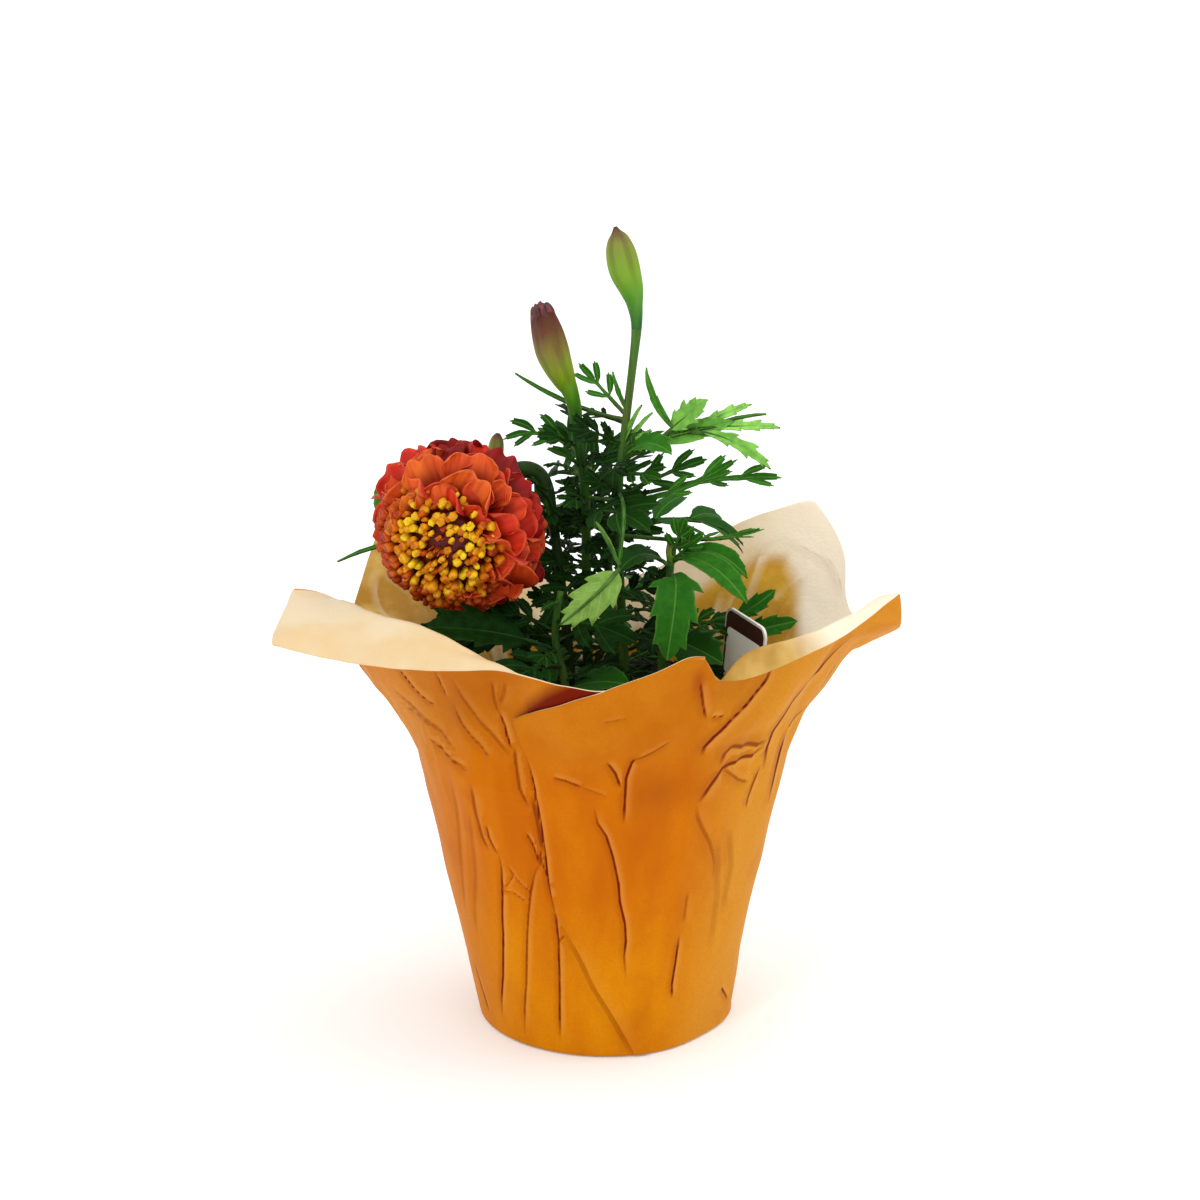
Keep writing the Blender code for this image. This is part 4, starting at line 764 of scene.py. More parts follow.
def smooth_line(line, steps):
    """Points on a smooth curve through the line's points, radius included."""
    line = [Vector(point) for point in line]
    made = []
    for before, start, end, beyond in zip(line[:1] + line, line, line[1:], line[2:] + line[-1:]):
        pull, twist = 2 * before - 5 * start + 4 * end - beyond, 3 * start - before - 3 * end + beyond
        for t in (k / steps for k in range(steps)):
            made.append((2 * start + (end - before) * t + pull * t**2 + twist * t**3) / 2)
    return made + line[-1:]


def spoke(axis, turn):
    """A direction square to the axis, by its angle round it."""
    side = axis.orthogonal().normalized()
    return side * math.cos(turn) + axis.cross(side) * math.sin(turn)


def tube(line, sides, form=None):
    """Rings round a line of x, y, z and radius, with closed ends. Form shapes a ring by angle."""
    points, around, side = [], [], None
    for i, knot in enumerate(line):
        ahead = (line[min(i + 1, len(line) - 1)].to_3d() - line[max(i - 1, 0)].to_3d()).normalized()
        side = side or ahead.orthogonal()
        side = (side - ahead * side.dot(ahead)).normalized()
        other = ahead.cross(side)
        for k in range(sides):
            turn = 2 * math.pi * k / sides
            swell = form(turn, i) if form else 1
            points.append(knot.to_3d() + (side * math.cos(turn) + other * math.sin(turn)) * knot[3] * swell)
            around.append(swell)
    faces = grid_faces(len(line), sides, True)
    for ring in (0, len(line) - 1):
        points.append(line[ring].to_3d())
        around.append(1)
        for k in range(sides):
            edge = (ring * sides + k, ring * sides + (k + 1) % sides)
            faces.append((*(edge if ring else edge[::-1]), len(points) - 1))
    return points, faces, around


# Pot cover

def flare_at(azimuth):
    """Middle and rim sizes of the flare there, smooth between the rows but sharp at the corners."""
    azimuth %= 360
    after = sum(row[0] <= azimuth for row in FLARE)
    places = [divmod(after + k, len(FLARE)) for k in (-2, -1, 0, 1)]
    rows = [FLARE[row] for _, row in places]
    turns = [FLARE[row][0] + 360 * lap for lap, row in places]
    span = turns[2] - turns[1]
    t = (azimuth - turns[1]) / span
    weights = (2 * t**3 - 3 * t**2 + 1, t**3 - 2 * t**2 + t, 3 * t**2 - 2 * t**3, t**3 - t**2)
    sizes = []
    for before, start, end, beyond in list(zip(*rows))[1:6]:
        leave = end - start if rows[1][6] else (end - before) * span / (turns[2] - turns[0])
        arrive = end - start if rows[2][6] else (beyond - start) * span / (turns[3] - turns[1])
        sizes.append(sum(w * v for w, v in zip(weights, (start, leave, end, arrive))))
    return sizes


def pleat(azimuth, height):
    """How far the soft vertical waves of the sheet stand out."""
    turn = math.radians(azimuth)
    ripple = 0.5 + 0.3 * math.sin(7 * turn + 0.6) + 0.2 * math.sin(11 * turn + 2.0)
    return PLEAT_HEIGHT * ripple * min(1.0, height / NECK_HEIGHT)


def cover_profile(azimuth, cone_rows, flare_steps):
    """Radius and height of the outer face from the foot to the rim."""
    mid_radius, mid_height, rim_radius, rim_height, arch = flare_at(azimuth)
    cone = (NECK_RADIUS - BASE_RADIUS) / NECK_HEIGHT
    right = 0.5 + 0.5 * math.sin(math.radians(azimuth))
    heights, left_sag, right_sag = zip(*WALL_SAG)
    sags = [(1 - right) * at_left + right * at_right for at_left, at_right in zip(left_sag, right_sag)]

    def wall(height):
        return BASE_RADIUS + cone * height - np.interp(height, heights, sags) + pleat(azimuth, height)

    off = (azimuth + 180) % 360 - 180
    cut = 1.1 * math.exp(-(((off - 50) / 17) ** 2))
    rows = [(BASE_RADIUS + out - cut, height) for out, height in ((-1.2, 0), (-0.45, 0.12), (0.1, 0.5))]
    for height in np.linspace(1.2, NECK_HEIGHT, cone_rows)[:-1]:
        rows.append((wall(height) - cut * max(0.0, 1 - height / 26), height))
    neck, reach = wall(NECK_HEIGHT), mid_height - NECK_HEIGHT
    at_left, at_right = (math.exp(-(((off - middle) / 20) ** 2)) for middle in (-88, 88))
    knots = [(neck, NECK_HEIGHT)]
    for t, left_swell, right_swell in SWELLS:
        swell = left_swell * at_left + right_swell * at_right - 0.24 * reach * t * (1 - t)
        knots.append((neck + (mid_radius - neck) * t + swell, NECK_HEIGHT + reach * t))
    for t in (0.35, 0.7, 1.0):
        radius = mid_radius + (rim_radius - mid_radius) * t
        knots.append((radius, mid_height + (rim_height - mid_height) * t + 4 * arch * t * (1 - t)))
    return rows + [tuple(knot) for knot in smooth_line(knots, flare_steps)]


def radius_at(azimuth, height):
    profile = cover_profile(azimuth, 12, 4)
    return float(np.interp(height, [p[1] for p in profile], [p[0] for p in profile]))


def hidden_creases():
    """Creases of the sides and the back, by rule: long ones down the cone and fans in the flare."""
    draw = random.Random(SEED + 5)
    made = []
    for i in range(26):
        azimuth, top = 78 + 196 * (i + draw.uniform(0.1, 0.9)) / 26, draw.uniform(40, 78)
        foot, lean = draw.uniform(2, top - 18), draw.uniform(-7, 7)
        middle = (azimuth + lean * 0.4 + draw.uniform(-2, 2), (top + foot) / 2)
        sizes = draw.uniform(0.4, 0.9), draw.uniform(0.4, 0.8), draw.uniform(0.3, 0.9)
        made.append((*sizes, [(azimuth, top), middle, (azimuth + lean, foot)]))
    for i in range(24):
        azimuth, low = 78 + 200 * (i + draw.uniform(0.1, 0.9)) / 24, draw.uniform(76, 88)
        high = low + (flare_at(azimuth)[3] - low) * draw.uniform(0.5, 0.95)
        lean = draw.uniform(-6, 6)
        points = [(azimuth, low), (azimuth + lean * 0.6, (low + high) / 2), (azimuth + lean, high)]
        made.append((draw.uniform(0.5, 1.1), draw.uniform(0.6, 1.1), draw.uniform(0.3, 0.8), points))
    return made


def crease_line(points):
    """The places of a crease on the cover, about every 3 mm, from its azimuths and heights."""
    dense = []
    for (a0, h0), (a1, h1) in zip(points, points[1:]):
        steps = max(2, int((abs(a1 - a0) * 0.9 + abs(h1 - h0)) / 3))
        dense += [(a0 + (a1 - a0) * k / steps, h0 + (h1 - h0) * k / steps) for k in range(steps)]
    return np.array([on_azimuth(a, radius_at(a, h), h) for a, h in dense + points[-1:]])


def crease_relief(places, normals, creases):
    """How far each place moves along its normal, and the marks of the crease nearest to it: how far
    off it is, also with a sign for the side (fold), its half width (girth) and how dark its painted shade is
    (crease)."""
    count = len(places)
    move, rank = np.zeros(count), np.full(count, 6.0)
    marks = {"fold": np.full(count, 8.0), "gap": np.full(count, 8.0), "girth": np.full(count, 0.5)}
    marks["crease"] = np.zeros(count)
    for half, depth, shade, points in creases:
        line = crease_line(points)
        reach = 9 + np.ptp(line, axis=0).max()
        near = np.nonzero(np.linalg.norm(places - line.mean(0), axis=1) < reach)[0]
        some, outward = places[near], normals[near]
        gap, side, at = np.full(len(near), 1e9), np.ones(len(near)), np.zeros(len(near))
        for k, ahead in enumerate(np.diff(line, axis=0)):
            t = np.clip((some - line[k]) @ ahead / (ahead @ ahead), 0, 1)
            away = some - (line[k] + t[:, None] * ahead)
            off = np.linalg.norm(away, axis=1)
            closer = off < gap
            beside = np.einsum("ij,ij->i", np.cross(ahead, outward[closer]), away[closer])
            gap[closer], side[closer] = off[closer], np.where(beside > 0, 1, -1)
            at[closer] = (k + t[closer]) / (len(line) - 1)
        taper = np.clip(np.minimum(at, 1 - at) * 6, 0, 1)
        step = 0.6 * np.tanh(side * gap / 1.5) * np.exp(-gap / 4.5)
        groove = 0.4 * np.exp(-((gap / (0.9 + 0.5 * half)) ** 2))
        move[near] += CREASE_SHARE * taper * depth * (step - groove)
        closer = gap - half < rank[near]
        rank[near[closer]] = (gap - half)[closer]
        fade = np.clip((5.5 * half + 1.5 - gap) / 1.5, 0, 1)
        found = {"fold": side * gap, "gap": gap, "girth": gap * 0 + half, "crease": taper * shade * fade}
        for name, numbers in found.items():
            marks[name][near[closer]] = numbers[closer]
    return move, {name: numbers.tolist() for name, numbers in marks.items()}


def relief(places, azimuths, normals):
    """Creases, crumples and the slow unevenness of the sheet together."""
    places = np.array(places)
    move, marks = crease_relief(places, normals, CREASES + hidden_creases())
    aside = np.abs((np.array(azimuths) + 180) % 360 - 180)
    flank = 0.25 + 0.75 * np.clip((aside - 26) / 20, 0, 1)
    neck = np.exp(-(((places[:, 2] - 90) / 13) ** 2))
    rough = []
    for place, turn, pull, crumple in zip(places, np.radians(azimuths), flank * neck, flank):
        x, y, z = place
        fan = noise.noise(Vector((9 * math.cos(turn), 9 * math.sin(turn), z * 0.035)))
        gaps = noise.voronoi(Vector((x, y, z * 0.6)) * 0.11)[0]
        long = noise.noise(Vector((x * 0.16, y * 0.16, z * 0.03)) + Vector((3, 9, 1)))
        rough.append(
            0.5 * noise.noise(Vector((x, y, z)) * 0.06) + 0.3 * long + 0.7 * pull * (0.5 - abs(fan) * 2)
            + crumple * (0.15 + 0.4 * pull) * (min(0.7, gaps[1] - gaps[0]) - 0.3)
        )
    return (move + rough) * np.clip(places[:, 2] / 12, 0, 1), marks


def grid_normals(points, rows, columns, closed):
    """Unit normals of a grid of points, outwards for rows that rise and columns by azimuth."""
    grid = np.array(points).reshape(rows, columns, 3)
    if closed:
        across = np.roll(grid, -1, 1) - np.roll(grid, 1, 1)
    else:
        across = np.gradient(grid, axis=1)
    normals = np.cross(across, np.gradient(grid, axis=0)).reshape(-1, 3)
    return normals / np.maximum(np.linalg.norm(normals, axis=1, keepdims=True), 1e-9)


def paper_values(points, azimuths, marks, rims):
    """Where light and shade are painted on the paper, and how far each point is below its rim."""
    off = (np.array(azimuths) + 180) % 360 - 180
    height = np.array(points)[:, 2]
    # Painted sheen on the flanks (flank)
    flank = np.clip((np.abs(off + 4) - 38) / 30, 0, 1) * np.clip((height - 30) / 60, 0.4, 1)
    flank = np.where(off > 0, np.clip((off - 24) / 26, 0, 0.95), flank)
    # Painted shade in a broad patch at the neck and in a dimple by the panel's top corner (shade)
    patch = 0.6 * np.exp(-(((off - 15) / 10) ** 2) - ((height - 82) / 6) ** 2)
    dimple = 0.9 * np.exp(-(((off - 21.5) / 1.6) ** 2) - ((height - 115) / 3.5) ** 2)
    # Painted shadow of the panel's top edge on the sheet above it (deep)
    above = height - np.interp(off, *zip(*PANEL_TOP))
    under = np.clip((off + 25.5) / 5, 0, 1) * np.clip((4 - off) / 6, 0, 1)
    reach = np.interp(off, [-25, -14, -4], [3, 7.5, 9])
    under = under * np.clip((above + 3) / 2, 0, 1) * np.clip((reach - above) / 5, 0, 1)
    # Painted shade on the lining at the back left and on the right of the flare (tan)
    left, right = 1.6 - np.abs(off + 126) / 22, 1.8 - np.abs(off - 34) / 10
    tan = np.maximum(np.clip(left, 0, 1), 0.95 * np.clip(right, 0, 1))
    values = {
        "flank": flank, "shade": np.maximum(patch, dimple), "deep": under, "tan": tan,
        "depth": np.array(rims) - height,
    }
    return {**marks, **{name: numbers.tolist() for name, numbers in values.items()}}


def make_cover(outside, inside):
    """The sheet round the pot: a fine outer face, and a plainer inner face that follows it."""
    front, front_count, back_count = 82, 264, 104
    azimuths = [*np.linspace(-front, front, front_count, False).tolist()]
    azimuths += np.linspace(front, 360 - front, back_count, False).tolist()
    columns = [cover_profile(a, 118, 12) for a in azimuths]
    rows, count, foot_radius = len(columns[0]), len(azimuths), columns[0][0][0]
    points = [on_azimuth(a, *column[k]) for k in range(rows) for a, column in zip(azimuths, columns)]
    spread = azimuths * rows
    normals = grid_normals(points, rows, count, True)
    move, marks = relief(points, spread, normals)
    values = paper_values(points, spread, marks, [column[-1][1] for column in columns] * rows)
    points = np.array(points) + normals * move[:, None]
    build = Build()
    build.add(points, grid_faces(rows, count, True), **values)
    # The bottom: rings with a quarter of the columns
    sparse, rings, foot = count // 4, 6, len(points)
    for ring in range(rings, 0, -1):
        radius = foot_radius * ring / (rings + 1)
        build.add([on_azimuth(a, radius, 0) for a in azimuths[::4]], [], depth=INNER_DEPTH)
    build.add([(0, 0, 0)], [], depth=INNER_DEPTH)
    middle, last = foot + rings * sparse, foot + (rings - 1) * sparse
    for i in range(sparse):
        beyond = (i + 1) % sparse
        chain = [(4 * i + k) % count for k in range(5)]
        build.faces += [(foot + i, foot + beyond, *reversed(chain)), (middle, last + beyond, last + i)]
    build.faces += [tuple(foot + k for k in face[::-1]) for face in grid_faces(rings, sparse, True)]
    build.slots = [0] * len(build.faces)
    # The inside: every second row and column of the outer face, one thickness further in
    half, lining = count // 2, [rows - 1] + list(range(rows - 3, 2, -2))
    kept = [row * count + 2 * k for row in lining for k in range(half)]
    inner = (points - normals * PAPER)[kept].tolist()
    inner += [on_azimuth(a, foot_radius - 0.3, PAPER) for a in azimuths[::2]]
    start, edge = len(build.points), (rows - 1) * count
    given = {name: [numbers[i] for i in kept] + [0.0] * half for name, numbers in values.items()}
    given["depth"][-half:] = [INNER_DEPTH] * half
    build.add(inner, grid_faces(len(lining) + 1, half, True), 1, **given)
    build.add([(0, 0, PAPER)], [], depth=INNER_DEPTH)
    last = start + len(lining) * half
    for k in range(half):
        beyond = (k + 1) % half
        over = (edge + 2 * k, edge + 2 * k + 1, edge + (2 * k + 2) % count)
        build.faces += [(*over, start + beyond, start + k), (last + k, last + beyond, last + half)]
        build.slots += [1, 1]
    cover = build.make("paper_cover", [outside, inside], "cover_paper", "pot_cover")
    cover.data.set_sharp_from_angle(angle=math.radians(55))


def along_line(line, share):
    """The place at a share of the way along a line of pairs."""
    at = np.cumsum([0.0] + [math.dist(a, b) for a, b in zip(line, line[1:])])
    return np.array([np.interp(share * at[-1], at, column) for column in zip(*line)])


def make_panel(outside, inside):
    """The free end of the sheet, wrapped over the front: it lifts a little at its edge."""
    rows, columns = 210, 128
    left, top = smooth_line(PANEL_EDGE[::-1], 6), smooth_line(PANEL_TOP, 6)
    down, over = np.linspace(0, 1, rows), np.linspace(0, 1, columns)
    foot_left, foot_right = np.array([(13, 0.6), (22.5, 0.6)])
    corners = np.array([foot_left, foot_right, PANEL_TOP[0], PANEL_TOP[-1]])
    rims = [along_line(top, u) for u in over]
    points, azimuths, lifts = [], [], []
    for v in down:
        edge, right = along_line(left, v), foot_right + (corners[3] - foot_right) * v
        for u, rim in zip(over, rims):
            foot = foot_left + (foot_right - foot_left) * u
            shares = np.array([(1 - u) * (1 - v), u * (1 - v), (1 - u) * v, u * v])
            azimuth, height = (1 - u) * edge + u * right + (1 - v) * foot + v * rim - shares @ corners
            points.append(on_azimuth(azimuth, radius_at(azimuth, height), height))
            azimuths.append(azimuth)
            flap = 0.55 * math.exp(-(((v - 0.52) / 0.12) ** 2)) + 1.1 * v**6
            lifts.append(0.62 - 0.85 * u**4 + flap * (1 - u) ** 6)
    normals = grid_normals(points, rows, columns, False)
    move, marks = relief(points, azimuths, normals)
    values = paper_values(points, azimuths, marks, [flare_at(a)[3] for a in azimuths])
    values["deep"] = 0.0
    build = Build()
    build.add(np.array(points) + normals * (move + lifts)[:, None], grid_faces(rows, columns), **values)
    panel = build.make("front_panel", [outside, inside], "cover_paper", "pot_cover")
    return thicken(panel, PAPER, -1, back=1, rim=1)


# Nursery pot and soil

def pot_radius(height):
    bottom = BASE_RADIUS - 2.4
    share = (height - POT_FLOOR_HEIGHT) / (POT_HEIGHT - POT_FLOOR_HEIGHT)
    return bottom + (POT_TOP_RADIUS - bottom) * share


def turned(outline, sides):
    """A closed ring of revolution about Z from its outline of radius and height."""
    points = [on_azimuth(360 * k / sides, r, z) for r, z in outline for k in range(sides)]
    faces = grid_faces(len(outline), sides, True)
    last = (len(outline) - 1) * sides
    for k in range(sides):
        beyond = (k + 1) % sides
        faces.append((last + k, last + beyond, beyond, k))
    return points, faces


def make_pot(plastic):
    """A plain tapered pot: base, wall, rolled rim, and the same inside."""
    floor, high, middle = POT_FLOOR_HEIGHT, POT_HEIGHT, 40
    below, thick = high - 4, POT_WALL
    outline = [
        (4.0, floor + 1.6), (4.0, floor), (pot_radius(floor) - 1.2, floor),
        (pot_radius(floor), floor + 1.2), (pot_radius(middle), middle),
        (pot_radius(below - 0.6), below - 0.6), (pot_radius(below) + 0.5, below - 0.2),
        (pot_radius(below) + 0.9, below + 0.3), (pot_radius(high) + 1.1, high - 0.5),
        (pot_radius(high) + 0.75, high), (pot_radius(high) - 0.6, high),
        (pot_radius(high) - thick, high - 0.5), (pot_radius(middle) - thick, middle),
        (pot_radius(floor + 1.6) - thick, floor + 1.6),
    ]
    build = Build()
    build.add(*turned(outline, 120))
    pot = build.make("pot_shell", [plastic], "pot_plastic", "nursery_pot")
    pot.data.set_sharp_from_angle(angle=math.radians(40))


def soil_bumps(x, y):
    sizes = ((1.3, 0.09), (1.0, 0.27), (0.7, 0.7), (0.45, 1.5))
    return sum(size * noise.noise(Vector((x, y, 0)) * scale) for size, scale in sizes)


def make_soil(ground, white, chips):
    """One closed lump of soil with a bumpy top, strewn with perlite and chips of bark."""
    draw = random.Random(SEED + 3)
    floor, top, rim = POT_FLOOR_HEIGHT + 1.95, SOIL_TOP - 0.6, pot_radius(SOIL_TOP) - SOIL_GAP
    sides, rings, grains = 150, 46, 300
    rows = [(pot_radius(floor) - SOIL_GAP, floor), (rim, SOIL_TOP - 2)]
    rows += [(rim * (1 - (ring + 0.3) / rings), top) for ring in range(rings)]
    points = [Vector((0, 0, floor))]
    points += [on_azimuth(360 * k / sides, radius, height) for radius, height in rows for k in range(sides)]
    points.append(Vector((0, 0, top)))
    for point in points[1 + 2 * sides:]:
        point.z += soil_bumps(point.x, point.y)
    faces = [(0, 1 + (k + 1) % sides, 1 + k) for k in range(sides)]
    faces += [tuple(1 + k for k in face) for face in grid_faces(len(rows), sides, True)]
    last = 1 + (len(rows) - 1) * sides
    faces += [(last + k, last + (k + 1) % sides, len(points) - 1) for k in range(sides)]
    build = Build()
    build.add(points, faces)
    for i in range(grains):
        size = draw.uniform(0.5, 1.5)
        reach, turn = (rim - 2.5) * math.sqrt(draw.random()), draw.uniform(0, 360)
        at = on_azimuth(turn, reach, top + size * 0.25)
        at.z += soil_bumps(at.x, at.y)
        is_white = i % 3 == 0
        stretch = Vector((1, 1, 0.8)) if is_white else Vector((draw.uniform(1.4, 3.0), 1, 0.6))
        turn, tilt = draw.uniform(0, 6.28), draw.uniform(-0.5, 0.5)
        spin = Matrix.Rotation(turn, 3, "Z") @ Matrix.Rotation(tilt, 3, "X")
        shape = bmesh.new()
        bmesh.ops.create_icosphere(shape, subdivisions=2 if is_white else 1, radius=size)
        swells = [1 + 0.35 * noise.noise(v.co * 2.1 / size + Vector((i, 0, 0))) for v in shape.verts]
        knobs = [at + spin @ (v.co * swell * stretch) for v, swell in zip(shape.verts, swells)]
        build.add(knobs, [[v.index for v in f.verts] for f in shape.faces], 1 if is_white else 2)
        shape.free()
    build.make("soil_bed", [ground, white, chips], "soil", "potting_soil")


# Plant tag

def tag_outline(grow, corner):
    """The label from its foot round the right side to the left, made larger by grow all round."""
    half, top = TAG_WIDTH / 2 + grow, TAG_LENGTH + grow
    right = [(0, TAG_FOOT - grow), (2.5 + grow, TAG_FOOT + 3), (3.4 + grow, 26), (3.4 + grow, 38), (half, 50)]
    for step in range(8):
        turn = math.radians(90 * step / 7)
        right.append((half - corner + corner * math.cos(turn), top - corner + corner * math.sin(turn)))
    return right + [(-x, y) for x, y in reversed(right) if x > 0]


def make_tag(white, brown, panel):
    """A stake label: white core, brown face on both sides, and a pale empty panel."""
    across = Vector((0.45, -0.89, -0.05)).normalized()
    facing = across.cross(Vector((0.02, 0.10, 1))).normalized()
    turned_to = Matrix((across, facing.cross(across), facing)).transposed()
    foot = Vector((31.0, -20.2, 42.5))
    box = []
    for x, y, start in ((7.6, 71.6, 0), (-7.6, 71.6, 90), (-7.6, 55, 180), (7.6, 55, 270)):
        for step in range(5):
            turn = math.radians(start + 22.5 * step)
            box.append((x + 1.2 * math.cos(turn), y + 1.2 * math.sin(turn)))
    build = Build()
    layers = [(tag_outline(0, 3.0), 0.36), (tag_outline(-0.7, 2.4), 0.4), (box, 0.43)]
    for slot, (outline, half) in enumerate(layers):
        count = len(outline)
        points = [foot + turned_to @ Vector((x, y, z)) for z in (-half, half) for x, y in outline]
        faces = [tuple(reversed(range(count))), tuple(range(count, 2 * count))]
        faces += [(k, (k + 1) % count, count + (k + 1) % count, count + k) for k in range(count)]
        build.add(points, faces, slot)
    tag = build.make("label_card", [white, brown, panel], "tag_plastic", "plant_tag")
    tag.data.set_sharp_from_angle(angle=math.radians(40))


# Leafy stems

def point_on_stem(line, height):
    points = smooth_line(line, 8)
    for low, high in zip(points, points[1:]):
        if low.z <= height <= high.z:
            return low.lerp(high, (height - low.z) / (high.z - low.z)).to_3d()
    return points[-1].to_3d()


def blade(margin, length, width, draw, lanes=4):
    """A toothed blade from its margin, base to tip: flat points, faces, and values for each point.

    Each side has its margin moved a little. The rows run forward to the margin as side veins do.
    """
    dense = []
    for (x0, y0), (x1, y1) in zip(margin, margin[1:]):
        dense.append((x0, y0))
        if lanes > 2:
            dense.append(((x0 + x1) / 2, (y0 + y1) / 2 + 0.08 * abs(y1 - y0)))
    dense.append(margin[-1])
    rib, last = [], dense[0][0]
    for i, (x, y) in enumerate(dense):
        room = (1 - last) / (len(dense) - i)
        last = max(last + 0.3 * room, min(x - 0.55 * y * width / length, 1 - room * 0.2))
        rib.append(last)
    rib[0], rib[-1] = dense[0][0], 1.0
    points, values = [], {"along": [], "across": [], "edge": []}
    for i, (x, y) in enumerate(dense):
        for k in range(-lanes, lanes + 1):
            share = abs(k) / lanes
            across = math.copysign(y * share, k) * width * (1 + 0.05 * draw.uniform(-1, 1) * share)
            wave = -0.10 * math.sin(2.2 * i) * share * share * min(1.2, y * width)
            points.append(((rib[i] + (x - rib[i]) * share) * length, across, wave))
            for name, value in (("along", rib[i] * length), ("across", across), ("edge", share)):
                values[name].append(value)
    return points, grid_faces(len(dense), 2 * lanes + 1), values


def lance_margin(teeth):
    """Margin of a leaflet as shares of its length and of its half width, with forward teeth."""

    def envelope(t):
        return max(0.0, 1 - (2 * t**0.85 - 1) ** 2) ** 0.8

    margin, start, end = [(0.0, 0.2), (0.13, 0.36)], 0.26, 0.9
    for i in range(teeth):
        low, high = (start + (end - start) * (i + k) / teeth for k in (0, 1))
        middle = (low + high) / 2
        margin += [(low, envelope(low) * 0.8), (middle, envelope(middle) * 0.98)]
        margin += [(high - 0.02, envelope(high - 0.10) * 1.08), (high - 0.03, envelope(high) * 0.76)]
    return margin + [(1.0, 0.0)]


def flat_leaf(kind, length, draw, lanes):
    """The blades of one leaf, flat, with the ends of its bare stalk and of its midrib."""
    if kind in BLADES:
        margin = [(x / 100, y / 100 * draw.uniform(0.93, 1.07)) for x, y in BLADES[kind]]
        return [blade(margin, length, length, draw, lanes)], margin[0][0] * length, length
    pairs, rib, (start, end_width), teeth = FEATHERED[kind]
    unit = length / 100
    rib, first = rib * unit, pairs[0][0] * 0.62 * unit
    wing = [(0.0, 0.5 / rib), (0.3, 1.0), (0.62, 0.8), (0.8, 1.15), (1.0, 0.9)]
    points, faces, values = blade(wing, (start + 5) * unit - first, rib, draw, lanes)
    parts = [([(x + first, y, z) for x, y, z in points], faces, values)]
    leaflets = []
    for station, reach, angle, width in pairs:
        for side in (1, -1):
            shift = draw.uniform(-0.015, 0.015) * length
            leaflets.append((station * unit + shift, side, angle + draw.uniform(-7, 7), reach, width))
    leaflets.append(((start - 4) * unit, 0, 0, 104 - start, end_width))
    for x0, side, angle, reach, width in leaflets:
        reach = reach * unit * draw.uniform(0.92, 1.06)
        points, faces, values = blade(lance_margin(teeth), reach, width * unit / 2, draw, lanes)
        turn = math.radians(angle) * side
        sweep = (turn or draw.uniform(-0.3, 0.3)) * draw.uniform(0.3, 0.5) / reach
        droop, twist = draw.uniform(-0.004, 0.016), draw.uniform(-0.3, 0.3)
        placed = []
        for x, y, z in points:
            now = turn - sweep * x
            z += 0.22 * abs(y) - 0.03 * y * y - droop * x * x + twist * y * x / reach
            placed.append((
                x0 + (math.sin(turn) - math.sin(now)) / sweep - y * math.sin(now),
                side * rib * 0.4 + (math.cos(now) - math.cos(turn)) / sweep + y * math.cos(now), z,
            ))
        parts.append((placed, faces, values))
    return parts, first, start * unit


class Bend:
    """A curve from base to tip and the leaf's own axes along it, for points of the flat leaf.

    The curve is drawn by one more point, or arches by an angle towards the way the leaf faces.
    """

    def __init__(self, base, tip, facing, curve):
        facing = Vector(facing)
        if isinstance(curve, (int, float)):
            span = tip - base
            ahead = span.normalized()
            back = (facing - ahead * facing.dot(ahead)).normalized()
            curve = (base + tip) / 2 + back * span.length / 2 * math.tan(math.radians(curve) / 2)
        shares = np.linspace(0, 1, 25)[:, None]
        base, tip, curve = (np.array(p, dtype=float) for p in (base, tip, curve))
        self.line = base * (1 - shares) ** 2 + curve * 2 * shares * (1 - shares) + tip * shares**2
        ahead = (curve - base) * (1 - shares) + (tip - curve) * shares
        self.ahead = ahead / np.linalg.norm(ahead, axis=1, keepdims=True)
        self.at = np.cumsum([0.0, *np.linalg.norm(np.diff(self.line, axis=0), axis=1)])
        self.length = float(self.at[-1])
        self.facing = np.array(facing, dtype=float)

    def along(self, x, columns):
        return np.stack([np.interp(x, self.at, column) for column in columns.T], axis=-1)

    def at_share(self, share):
        return Vector(self.along(share * self.length, self.line))

    def place(self, points):
        x, y, z = np.array(points, dtype=float).T
        ahead = self.along(x, self.ahead)
        here = self.along(x, self.line) + ahead * np.minimum(x, 0)[:, None]
        across = np.cross(self.facing, ahead)
        across /= np.linalg.norm(across, axis=1, keepdims=True)
        rise = LEAF_FOLD * np.abs(y) - 0.012 * y * y + z
        return here + across * y[:, None] + np.cross(ahead, across) * rise[:, None]


def add_leaf(blades, stalks, curve, kind, tone, draw, lanes=4):
    """A leaf on its curve: its blades, and its stalk and midrib as one thin tube."""
    parts, stalk_end, rib_end = flat_leaf(kind, curve.length, draw, lanes)
    steps, sides, thin = (14, 7, 1) if lanes > 2 else (7, 5, 0.7)
    tone += draw.uniform(-0.05, 0.05)
    for points, faces, values in parts:
        shown = clamp(tone + draw.uniform(-0.06, 0.06))
        blades.add(curve.place(points), [face[::-1] for face in faces], tone=shown, **values)
    stations = np.linspace(-LEAF_ROOT, rib_end, steps)
    line = curve.place([(x, 0, -0.28 if x > stalk_end else -0.1) for x in stations])
    beyond = np.maximum(stations - stalk_end, 0) / (rib_end - stalk_end + 1e-6)
    knots = [Vector((*p, r)) for p, r in zip(line.tolist(), thin * (0.6 - 0.36 * beyond))]
    points, faces, _ = tube(knots, sides)
    stalks.add(points, faces, 2, tone=tone)


